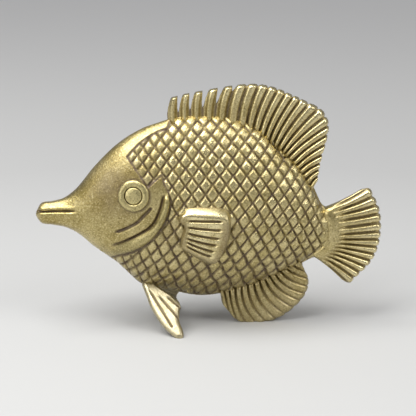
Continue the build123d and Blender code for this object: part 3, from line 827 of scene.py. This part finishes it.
def tail_root_rays(rows):
    """Roots and tips of the tail rays."""
    along, up_share, back, rise = np.moveaxis(rows, -1, 0)
    root = np.stack([nose_x + along * body_length, belly_z + up_share * body_height], axis=1)
    return root, root + tail_length * np.stack([back, rise], axis=1)


tail_look = {
    "edge": 0.8, "corner": 1.7, "corner_power": 3, "notch": 0.36, "notch_power": 3, "spines": 0,
    "bow": lambda place: 0.06 * (place - 0.5),
    "root_depth": 1.3, "root_half": 1.1, "rim_half": 0.9, "web_half": 0.58,
    "ridge": 0.52, "groove_start": 0.10, "groove_ramp": 0.35, "tip_round": 0.09,
    "round": 0.5, "swell": lambda place: np.sqrt(np.clip(1 - (1.9 * place - 0.95) ** 2, 0, 1)),
    "stain": 0.6, "wear": 1.0, "even_darkening": 0.0,
}
rayed_fin("tail_fan", tail_ray_shares, tail_rays, tail_root_rays, tail_look)

# %% [markdown]
# ## Pelvic fins
# Two leaves splay out from the belly and carry the front of the fish. Three engraved lines divide a leaf
# into four rays, and the rays end one after the other along the rear edge. A flat outline under a solidify
# modifier would have sharp, even edges. A front and a back grid that share their border can thin out
# towards it.

# %% Outline of a pelvic fin
pelvic_width = 7.0
pelvic_splay = math.radians(43.5)
pelvic_root_offset = 1.6
pelvic_place_share = 0.355
foot_cut = 0.25  # ground off where the leaf stands
leaf_rows, leaf_columns = 110, 64
# down the leaf, then its front and rear edge across the width
pelvic_leaf_shares = [
    (-0.10, 0.03, 0.36),
    (0.00, 0.02, 0.40),
    (0.08, 0.06, 0.52),
    (0.15, 0.095, 0.65),
    (0.22, 0.13, 0.78),
    (0.30, 0.165, 0.89),
    (0.37, 0.20, 0.955),
    (0.42, 0.235, 0.965),
    (0.47, 0.27, 0.935),
    (0.55, 0.33, 0.925),
    (0.65, 0.415, 0.915),
    (0.74, 0.50, 0.95),
    (0.83, 0.61, 0.995),
    (0.91, 0.73, 1.015),
    (0.96, 0.81, 1.00),
    (1.00, 0.90, 0.95),
]
pelvic_x = nose_x + pelvic_place_share * body_length
pelvic_z = float(body_section(np.array(pelvic_x))[0])
leaf_down = np.array([0, -math.sin(pelvic_splay), -math.cos(pelvic_splay)])
leaf_out = np.array([0, -math.cos(pelvic_splay), math.sin(pelvic_splay)])
leaf_length = (pelvic_z + foot_cut) / math.cos(pelvic_splay)
leaf_root = np.array([pelvic_x, -pelvic_root_offset, pelvic_z])

leaf_down_share = np.linspace(pelvic_leaf_shares[0][0], 1.0, leaf_rows)
leaf_edges = smooth_rows(pelvic_leaf_shares, leaf_down_share)
leaf_across = np.linspace(0, 1, leaf_columns)
leaf_across = 0.5 * leaf_across + 0.25 * (1 - np.cos(math.pi * leaf_across))  # closer together at the edges
leaf_breadth = leaf_edges[:, 1:] - leaf_edges[:, :1]
leaf_share = leaf_edges[:, :1] + leaf_across[None, :] * leaf_breadth
leaf_x = leaf_share * pelvic_width
leaf_drop = np.broadcast_to(leaf_down_share[:, None] * leaf_length, leaf_x.shape)
print("a pelvic fin is", round(leaf_length, 1), "mm long")

# %% Lines and thickness of a pelvic fin
# an engraved line's two ends, each as shares of the width and of the length
pelvic_groove_shares = [
    ((0.17, 0.07), (0.73, 0.78)),
    ((0.41, 0.20), (0.93, 0.66)),
    ((0.62, 0.23), (0.97, 0.45)),
]
pelvic_groove_depth, pelvic_groove_half = 0.30, 0.28
pelvic_stain_half = 0.18
pelvic_half_thickness = 0.62
pelvic_edge_round = 0.8  # how far in from its edge the leaf is rounded off
pelvic_tip_round = 0.06  # the same at its tip, as a share of its length
leaf_cut = np.zeros(leaf_x.shape)
leaf_stain = np.zeros(leaf_x.shape)
for groove_line in pelvic_groove_shares:
    line = np.array([(a * pelvic_width, d * leaf_length) for a, d in groove_line])
    gap, along = path_distance(line, leaf_x, leaf_drop)
    fade = ease(0.0, 0.2, along)
    leaf_cut = np.maximum(leaf_cut, fade * fall(0.0, pelvic_groove_half, gap))
    leaf_stain = np.maximum(leaf_stain, fade * fall(0.0, pelvic_stain_half, gap))
from_edge = np.minimum(leaf_across, 1 - leaf_across)[None, :] * leaf_breadth * pelvic_width
leaf_half = pelvic_half_thickness * quarter_round(from_edge / pelvic_edge_round)
leaf_half *= np.sqrt(np.clip((1 - leaf_down_share) / pelvic_tip_round, 0, 1))[:, None]
leaf_half -= pelvic_groove_depth * leaf_cut * ease(0.1, 0.5, leaf_half)
leaf_half[0] = leaf_half[-1] = 0
leaf_half[:, 0] = leaf_half[:, -1] = 0
leaf_middle = leaf_root + leaf_x[..., None] * [1, 0, 0] + leaf_drop[..., None] * leaf_down
leaf_front = leaf_middle + leaf_half[..., None] * leaf_out
leaf_back = leaf_middle - leaf_half[..., None] * leaf_out
for side in (leaf_front, leaf_back):
    side[..., 2] = np.maximum(side[..., 2], 0)
make_sheet_pair("pelvic_leaf", leaf_front, leaf_back, leaf_stain, 1 - leaf_stain, 1 - leaf_stain)

# %% [markdown]
# ## Pectoral fins
# A thick plaque stands off each flank. Its top edge is a broad bright bevel, six lines fan across its face,
# and its rear rim is raised. The grid runs from the root across to the rim and from the top edge down. A
# block with a bevel modifier comes close, but the plaque has to follow the round flank, so its height is
# added to the flank's own.

# %% Outline of a pectoral fin
pectoral_rows = 120
pectoral_columns = 96
pectoral_top_pixels = [(184, 210), (192, 208.5), (205, 208), (218, 208.5), (229, 210.5)]
pectoral_bottom_pixels = [(179.5, 249.5), (188, 255), (198, 261), (207, 265), (216.5, 265)]
pectoral_rim_bulge = 1.2
pectoral_lobe = 0.8  # the root's small lobe, high on its front edge
pectoral_proud = 1.15


def plaque_point(pixel):
    """(x, z) of a pixel on the plaque's face, which stands off the flank."""
    x, z = on_flank(pixel)
    lift = pectoral_proud * math.tan(camera_elevation)
    return x, z + lift


across_share = np.linspace(0, 1, pectoral_columns)[None, :]
down_share = np.linspace(0, 1, pectoral_rows)[:, None]
plaque_top, plaque_bottom = (
    smooth_chain(np.array([plaque_point(p) for p in pixels]), pectoral_columns)
    for pixels in (pectoral_top_pixels, pectoral_bottom_pixels)
)
plaque = plaque_top[None] + down_share[..., None] * (plaque_bottom - plaque_top)[None]
plaque_deep = float(np.mean(plaque_top[:, 1] - plaque_bottom[:, 1]))
plaque_wide = float(np.mean(plaque[:, -1, 0] - plaque[:, 0, 0]))
plaque[..., 0] += pectoral_rim_bulge * 4 * down_share * (1 - down_share) * ease(0.3, 1.0, across_share)
lobe_at, lobe_half = 0.25, 0.12  # shares of the way down
dent_at, dent_half, dent_share = 0.50, 0.10, 0.40  # the dent under the lobe; the last in parts of the lobe
lobe_swell = np.exp(-(((down_share - lobe_at) / lobe_half) ** 4))
lobe_swell = lobe_swell - dent_share * np.exp(-(((down_share - dent_at) / dent_half) ** 2))
plaque[..., 0] -= pectoral_lobe * lobe_swell * fall(0.0, 0.25, across_share)
plaque_x, plaque_z = plaque[..., 0], plaque[..., 1]
print("a pectoral fin is", round(plaque_wide, 1), "mm wide and", round(plaque_deep, 1), "mm deep")

# %% Lines on a pectoral fin
# each line's share of the way down, near the root and near the rim
pectoral_groove_shares = [
    (0.285, 0.215), (0.425, 0.365), (0.550, 0.515), (0.665, 0.635), (0.750, 0.755), (0.838, 0.845),
]
pectoral_groove_ends = 0.15, 0.85  # where across the plaque those shares hold
pectoral_groove_half = 0.36
line_cut = np.zeros(plaque_x.shape)
groove_start, groove_stop = pectoral_groove_ends
for at_root, at_rim in pectoral_groove_shares:
    line_down = at_root + (at_rim - at_root) * (across_share - groove_start) / (groove_stop - groove_start)
    gap = np.abs(down_share - line_down) * plaque_deep
    line_cut = np.maximum(line_cut, fall(0.0, pectoral_groove_half, gap))
line_cut = line_cut * ease(0.10, 0.26, across_share)
line_cut = line_cut * fall(0.76, 0.86, across_share + 0.10 * down_share**2)
cut_share = float((line_cut > 0.5).mean())
print(len(pectoral_groove_shares), "lines cover", round(100 * cut_share), "% of its face")

# %% Relief and finish of a pectoral fin
pectoral_sink = 0.5
pectoral_bevel = 1.7  # breadth of the slope along the top edge
pectoral_bevel_power = 1.65  # one is flat, two is round
pectoral_root_round, pectoral_rim_round, pectoral_bottom_round = 0.9, 0.8, 0.9
pectoral_flare = 0.45  # how much further out it stands at the rim
pectoral_hollow = 0.10  # depth of the face between its borders
pectoral_groove_depth = 0.42
top_bevel = 1 - (1 - np.clip(down_share * plaque_deep / pectoral_bevel, 0, 1)) ** pectoral_bevel_power
edge_fall = top_bevel * quarter_round((1 - down_share) * plaque_deep / pectoral_bottom_round)
edge_fall = edge_fall * quarter_round(across_share * plaque_wide / pectoral_root_round)
edge_fall = edge_fall * quarter_round((1 - across_share) * plaque_wide / pectoral_rim_round)
plaque_height = -pectoral_sink + (pectoral_proud + pectoral_sink) * edge_fall
plaque_height = plaque_height - pectoral_groove_depth * line_cut
plaque_height = plaque_height + pectoral_flare * ease(0.2, 1.0, across_share) * edge_fall
plaque_inner = ease(0.05, 0.2, across_share) * fall(0.82, 0.92, across_share)
plaque_height = plaque_height - pectoral_hollow * plaque_inner * ease(0.10, 0.32, down_share)
plaque_base = flank(plaque_x, plaque_z)
plaque_front = np.stack([plaque_x, -(plaque_base + plaque_height), plaque_z], axis=-1)
plaque_back = np.stack([plaque_x, -(plaque_base - pectoral_sink), plaque_z], axis=-1)
plaque_frame = np.maximum(ease(0.74, 0.86, across_share), fall(0.08, 0.26, across_share))
plaque_frame = np.maximum(plaque_frame, ease(0.82, 0.92, down_share)) * ease(0.12, 0.28, down_share)
plaque_stain = np.maximum(0.9 * ease(0.3, 1.0, line_cut), fall(0.0, 0.5, edge_fall))
plaque_stain = np.maximum(plaque_stain, 0.42 * plaque_frame)
plaque_wear = (1 - line_cut) * edge_fall * (1 - 0.9 * plaque_frame)
make_sheet_pair("pectoral_plaque", plaque_front, plaque_back, plaque_stain, plaque_wear, 0 * plaque_wear)

# %% [markdown]
# ## Gill flaps
# A crescent lies behind each cheek. It rises out of the outer gill groove, is highest near its rear edge
# and drops steeply to the scales. The grid follows the crescent's two edges. It could be carved into the
# body, but as a piece of its own it stands proud with a sharp shadow at its rear edge.

# %% Gill flaps
gill_proud = 0.62
gill_sink = 0.5  # how far its edges run under the flank
gill_bed = 0.65  # how far its back lies under the flank
gill_along = 160
gill_across = 30
spot = np.linspace(0, 1, gill_along)


def along_path(path):
    """Evenly numbered places along a chain of points."""
    chain = np.linspace(0, 1, len(path))
    return np.stack([np.interp(spot, chain, path[:, axis]) for axis in (0, 1)], axis=1)


inner_edge = along_path(outer_gill)
rear_edge = along_path(gill_rear)
over = np.linspace(0, 1, gill_across)
crescent = inner_edge[:, None] + over[None, :, None] * (rear_edge - inner_edge)[:, None]
gill_rise, gill_fall = 0.5, 0.38  # shares of its breadth over which it rises and falls
crescent_rise = quarter_round(over / gill_rise) * quarter_round((1 - over) / gill_fall)
crescent_ends = ease(0.0, 0.30, spot) * fall(0.90, 1.0, spot)
crescent_height = -gill_sink + (gill_proud * crescent_ends[:, None] + gill_sink) * crescent_rise[None]
crescent_y = flank(crescent[..., 0], crescent[..., 1])
gill_front = np.stack([crescent[..., 0], -(crescent_y + crescent_height), crescent[..., 1]], axis=-1)
gill_back = np.stack([crescent[..., 0], -(crescent_y - gill_bed), crescent[..., 1]], axis=-1)
gill_stain = crescent_ends[:, None] * fall(0.0, 0.35, crescent_height + 0.1)
gill_wear = 0.10 * (1 - gill_stain)
make_sheet_pair("gill_crescent", gill_front, gill_back, gill_stain, gill_wear, 0 * gill_wear)

# %% [markdown]
# ## Eyes
# Each eye is a flat raised ring with softened edges, and a low domed stud inside it. Both are turned
# shapes: a profile spun about the direction in which the head faces there. A torus and a flattened sphere
# come close, but a profile sets the softness of each edge on its own.

# %% Direction of the eyes
eye_y = float(flank(np.array(eye_x), np.array(eye_z)))
nudge = 0.2
ahead, behind = flank(eye_x + nudge * np.array([-1, 1]), np.full(2, eye_z))
below, above = flank(np.full(2, eye_x), eye_z + nudge * np.array([-1, 1]))
eye_out = np.array([-(behind - ahead) / (2 * nudge), -1.0, -(above - below) / (2 * nudge)])
eye_out /= np.linalg.norm(eye_out)
eye_side = np.cross([0, 0, 1], eye_out)
eye_side /= np.linalg.norm(eye_side)
eye_up = np.cross(eye_out, eye_side)
eye_centre = np.array([eye_x, -eye_y, eye_z])
print("the eyes look out along", [round(float(c), 2) for c in eye_out])

# %% Rings and studs
turn_steps = 96
profile_steps = 6  # from one corner of a profile to the next


def turned(profile):
    """Points, faces and vertex numbers of a profile of (radius, height) spun about the eye's axis."""
    turn = np.linspace(0, 2 * math.pi, turn_steps, endpoint=False)
    ring = np.cos(turn)[:, None] * eye_side + np.sin(turn)[:, None] * eye_up
    points = eye_centre + profile[None, :, :1] * ring[:, None] + profile[None, :, 1:] * eye_out
    index = np.arange(turn_steps * len(profile)).reshape(turn_steps, -1)
    faces = grid_quads(np.concatenate([index, index[:1]], axis=0)).tolist()
    return points.reshape(-1, 3), faces, index


# the corners of both profiles are (radius, height over the head)
ring_corners = [
    (1.56, -0.60), (1.56, 0.10), (1.58, 0.44), (1.68, 0.57), (2.00, 0.62), (2.30, 0.58), (2.56, 0.45),
    (2.70, 0.22), (eye_radius, -0.10), (eye_radius, -0.60),
]
ring_profile = rounded_chain(ring_corners, profile_steps)
ring_points, ring_faces, ring_index = turned(ring_profile)
ring_stain = np.tile(fall(0.0, 0.40, ring_profile[:, 1]), turn_steps)
inner_ring, outer_ring = ring_index[:, 0], ring_index[:, -1]
ring_back = np.stack([outer_ring, np.roll(outer_ring, -1), np.roll(inner_ring, -1), inner_ring], axis=1)
make_pair("eye_rim", ring_points, ring_faces + ring_back.tolist(), ring_stain, 1 - ring_stain)

pupil_corners = [
    (0.02, 0.70), (0.5, 0.69), (0.9, 0.655), (1.25, 0.58), (1.42, 0.47), (1.49, 0.20), (1.49, -0.6),
]
pupil_profile = rounded_chain(pupil_corners, profile_steps)
pupil_points, pupil_faces, pupil_index = turned(pupil_profile)
pupil_stain = np.tile(fall(0.1, 0.35, pupil_profile[:, 1]), turn_steps)
pupil_faces += [pupil_index[::-1, 0].tolist(), pupil_index[:, -1].tolist()]
make_pair("eye_stud", pupil_points, pupil_faces, pupil_stain, 1 - pupil_stain)

# %% [markdown]
# ## Antique brass
# The real finish has three layers: yellow metal that catches the light on every high spot, a dull olive
# skin over the rest, and brown patina packed into the grooves. The two numbers carved into each mesh say
# where each layer shows, and the patina's brown is also laid on the flank as painted shade round the pectoral
# fins, the eyes and the underside; noise breaks the borders up, and a fine grain stands for the pitted skin
# of the casting. The renderer's pointiness could find the grooves too, but it changes with the mesh; the
# carved numbers don't.

# %% Brass finish
# a mix node has several sockets of one name, so they are told apart by number
colour_a, colour_b, colour_out = 6, 7, 2
number_a, number_b, number_out = 2, 3, 0


def add_node(tree, kind, **settings):
    """A new node with the given sockets and settings filled in."""
    made = tree.nodes.new(kind)
    for key, value in settings.items():
        if key in made.inputs:
            made.inputs[key].default_value = value
        else:
            setattr(made, key, value)
    return made


def antique_brass(name, bright, dull, shade_and_patina, rough, grain_size, grain_depth, stain_reach):
    """A brass material; rough is (rubbed, dull, stained), grain_size and grain_depth are millimetres."""
    material = bpy.data.materials.new(name)
    material.use_nodes = True
    tree = material.node_tree
    join = tree.links.new
    shader = tree.nodes["Principled BSDF"]

    def node(kind, **settings):
        return add_node(tree, kind, **settings)

    def noise(scale, detail):
        """Noise of so many cells to the metre."""
        made = node("ShaderNodeTexNoise", Scale=scale, Detail=detail, Roughness=0.6)
        join(place.outputs["Object"], made.inputs["Vector"])
        return made.outputs["Fac"]

    def fit(value, low, high, to_low, to_high):
        """A value moved from one range to another, and held there."""
        made = node("ShaderNodeMapRange", clamp=True)
        for socket, number in zip(("From Min", "From Max", "To Min", "To Max"), (low, high, to_low, to_high)):
            made.inputs[socket].default_value = number
        join(value, made.inputs["Value"])
        return made.outputs["Result"]

    def product(first, second):
        made = node("ShaderNodeMath", operation="MULTIPLY", use_clamp=True)
        join(first, made.inputs[0])
        join(second, made.inputs[1])
        return made.outputs[0]

    def blend(factor, first, second):
        """The first colour, turning into the second as the factor rises."""
        made = node("ShaderNodeMix", data_type="RGBA")
        join(factor, made.inputs["Factor"])
        for socket, colour in ((colour_a, first), (colour_b, second)):
            if isinstance(colour, tuple):
                made.inputs[socket].default_value = (*colour, 1)
            else:
                join(colour, made.inputs[socket])
        return made.outputs[colour_out]

    place = node("ShaderNodeTexCoord")
    patina_and_shade = node("ShaderNodeAttribute", attribute_name="patina_and_shade").outputs["Fac"]
    rubbed = node("ShaderNodeAttribute", attribute_name="rubbed").outputs["Fac"]
    clouds = noise(160, 3)
    mottle = noise(700, 4)
    grain = noise(1 / (grain_size * MM), 3)

    # a dull skin with paler clouds, bright where it is rubbed
    worn = product(rubbed, fit(mottle, 0.32, 0.62, 0.25, 1.0))
    metal = blend(fit(clouds, 0.3, 0.7, 0.0, 1.0), dull, tuple(0.5 * (a + b) for a, b in zip(dull, bright)))
    metal = blend(worn, metal, bright)
    # the grain gives dark specks and bright flakes
    specks = fit(grain, 0.53, 0.70, 0.0, 0.7)
    metal = blend(specks, metal, tuple(0.40 * c for c in dull))
    flakes = fit(grain, 0.46, 0.34, 0.0, 0.65)
    metal = blend(flakes, metal, bright)
    # patina lies in the grooves, painted shade of the same brown lies where the flank's number puts it, and
    # both are less of a metal
    stain = product(fit(patina_and_shade, 0.05, stain_reach, 0.0, 1.0), fit(mottle, 0.25, 0.60, 0.55, 1.0))
    join(blend(stain, metal, shade_and_patina), shader.inputs["Base Color"])

    rubbed_rough, dull_rough, stained_rough = rough
    skin = fit(worn, 0.0, 1.0, dull_rough, rubbed_rough)
    roughness = node("ShaderNodeMix", data_type="FLOAT")
    join(stain, roughness.inputs["Factor"])
    join(skin, roughness.inputs[number_a])
    roughness.inputs[number_b].default_value = stained_rough
    join(roughness.outputs[number_out], shader.inputs["Roughness"])
    join(fit(stain, 0.0, 1.0, 1.0, 0.35), shader.inputs["Metallic"])

    shader.inputs["Coat Weight"].default_value = 0.5  # wax left from polishing
    shader.inputs["Coat Roughness"].default_value = 0.25

    bump = node("ShaderNodeBump", Strength=0.6, Distance=grain_depth * MM)
    join(grain, bump.inputs["Height"])
    join(bump.outputs["Normal"], shader.inputs["Normal"])
    return material


print("brass reads two numbers from each mesh: groove and rubbed")

# %% Five finishes
olive_metal = (0.325, 0.248, 0.066)
bright_metal = (0.76, 0.65, 0.34)
shade_and_patina_brown = (0.10, 0.060, 0.030)
finishes = {
    "scaled_body": antique_brass(
        "scaled_brass", bright_metal, olive_metal, shade_and_patina_brown,
        rough=(0.22, 0.35, 0.6), grain_size=0.30, grain_depth=0.15, stain_reach=0.75,
    ),
    "ridged_fins": antique_brass(
        "ridged_brass", (0.80, 0.695, 0.39), (0.39, 0.30, 0.098), shade_and_patina_brown,
        rough=(0.25, 0.35, 0.6), grain_size=0.30, grain_depth=0.04, stain_reach=0.8,
    ),
    "polished_fins": antique_brass(
        "rubbed_brass", (0.54, 0.47, 0.29), (0.42, 0.36, 0.20), (0.16, 0.11, 0.06),
        rough=(0.34, 0.40, 0.6), grain_size=0.30, grain_depth=0.05, stain_reach=0.9,
    ),
    "head_trim": antique_brass(
        "smooth_brass", (0.64, 0.55, 0.26), (0.25, 0.195, 0.06), shade_and_patina_brown,
        rough=(0.30, 0.38, 0.6), grain_size=0.28, grain_depth=0.12, stain_reach=0.9,
    ),
    "pins": antique_brass(
        "pin_brass", bright_metal, olive_metal, shade_and_patina_brown,
        rough=(0.3, 0.4, 0.6), grain_size=0.3, grain_depth=0.03, stain_reach=0.9,
    ),
}
print("finishes", sorted(finishes))

# %% [markdown]
# ## Joining the looks to the construction
# Each carved piece stands for one construction piece, moves with the one rigid body and takes its finish.
# The pins inside the seam keep their construction shape, because nothing of them shows. A few lines for
# each piece would do; one table with a loop is shorter and shows at a glance what stands for what.

# %% Pieces, nodes and finishes
# carved piece, construction piece, finish, and whether there is a left and a right one
piece_plan = [
    ("brass_body", "body_half", "scaled_body", True),
    ("dorsal_comb", "dorsal_fin", "ridged_fins", False),
    ("anal_lobe", "anal_fin", "ridged_fins", False),
    ("tail_fan", "tail_fin", "ridged_fins", False),
    ("pelvic_leaf", "pelvic_fin", "polished_fins", True),
    ("pectoral_plaque", "pectoral_fin", "ridged_fins", True),
    ("gill_crescent", "gill_flap", "head_trim", True),
    ("eye_rim", "eye_ring", "head_trim", True),
    ("eye_stud", "eye_pupil", "head_trim", True),
]
for name, cad_node, slot, paired in piece_plan:
    for side in ("_left", "_right") if paired else ("",):
        piece = pieces[name + side]
        piece.data.materials.append(finishes[slot])
        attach(piece, "root")
        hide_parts(cad_node + side)
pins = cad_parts["seam_pins"]
pins.data.materials.clear()
pins.data.materials.append(finishes["pins"])
print(len(pieces), "carved pieces")

# %% [markdown]
# ## Studio
# The fish stands on a round sheet of pale paper that reaches far out on every side, so it can be looked at
# from all around. The paper's colour is painted greyer in the middle, where the lamps are strongest, and
# paler
# far out: painted shade and light that even out the lamps. One broad soft lamp hangs above the head, two
# weaker ones fill from the tail's and the head's side, and the room gives a dim even light. A picture of a
# room wrapped round the world could light it, but lamps can be moved one by one until the relief reads well.

# %% Paper floor
floor_rings = np.array([40.0, 90.0, 160.0, 260.0, 420.0, 700.0, 1200.0, 2000.0, 3200.0])
floor_turn = np.linspace(0, 2 * math.pi, 96, endpoint=False)
floor_x = floor_rings[:, None] * np.cos(floor_turn)
floor_y = floor_rings[:, None] * np.sin(floor_turn)
floor_points = np.stack([floor_x, floor_y, 0 * floor_x], axis=-1).reshape(-1, 3) * MM
floor_index = np.arange(floor_x.size).reshape(floor_x.shape)
floor_faces = grid_quads(np.concatenate([floor_index, floor_index[:, :1]], axis=1)).tolist()
floor_faces.append(floor_index[0].tolist())
floor_mesh = bpy.data.meshes.new("paper_floor")
floor_mesh.from_pydata(floor_points.tolist(), [], floor_faces)
paper_floor = bpy.data.objects.new("paper_floor", floor_mesh)
bpy.context.scene.collection.objects.link(paper_floor)

paper = bpy.data.materials.new("pale_paper")
paper.use_nodes = True
paper_tree = paper.node_tree
paper_shader = paper_tree.nodes["Principled BSDF"]
paper_shader.inputs["Roughness"].default_value = 0.75
paper_place = add_node(paper_tree, "ShaderNodeTexCoord")
paper_reach = add_node(paper_tree, "ShaderNodeVectorMath", operation="LENGTH")
fade_start, fade_end = 120.0, 480.0  # millimetres from the fish
paper_fade = add_node(paper_tree, "ShaderNodeMapRange")
paper_fade.inputs["From Min"].default_value = fade_start * MM
paper_fade.inputs["From Max"].default_value = fade_end * MM
# painted shade and light: the paper is greyer near the fish, where the lamps are strongest, and paler far out
paper_shade_and_light = add_node(paper_tree, "ShaderNodeMix", data_type="RGBA")
paper_shade_and_light.inputs[colour_a].default_value = (0.52, 0.52, 0.51, 1)
paper_shade_and_light.inputs[colour_b].default_value = (0.86, 0.86, 0.85, 1)
for source, target in (
    (paper_place.outputs["Object"], paper_reach.inputs[0]),
    (paper_reach.outputs["Value"], paper_fade.inputs["Value"]),
    (paper_fade.outputs["Result"], paper_shade_and_light.inputs["Factor"]),
    (paper_shade_and_light.outputs[colour_out], paper_shader.inputs["Base Color"]),
):
    paper_tree.links.new(source, target)
floor_mesh.materials.append(paper)
print("the paper reaches", floor_rings[-1] * MM, "m out")

# %% Lamps and room


def soft_lamp(name, place, aim, size, watts):
    """A square area lamp that looks at a point; millimetres."""
    data = bpy.data.lights.new(name, "AREA")
    data.size = size * MM
    data.energy = watts
    lamp = bpy.data.objects.new(name, data)
    bpy.context.scene.collection.objects.link(lamp)
    lamp.location = Vector(place) * MM
    lamp.rotation_euler = (Vector(place) - Vector(aim)).to_track_quat("Z", "Y").to_euler()
    print(name, watts, "watts")


fish_middle = (0, 0, 20)
soft_lamp("top_softbox", (-110, -60, 310), fish_middle, 260, 1.4)
soft_lamp("tail_fill", (230, -160, 240), fish_middle, 180, 0.38)
soft_lamp("head_fill", (-330, -260, 160), fish_middle, 200, 0.35)
room = bpy.data.worlds.new("room")
room.use_nodes = True
room.node_tree.nodes["Background"].inputs["Color"].default_value = (0.30, 0.30, 0.31, 1)
bpy.context.scene.world = room
bpy.context.scene.view_settings.view_transform = "Standard"
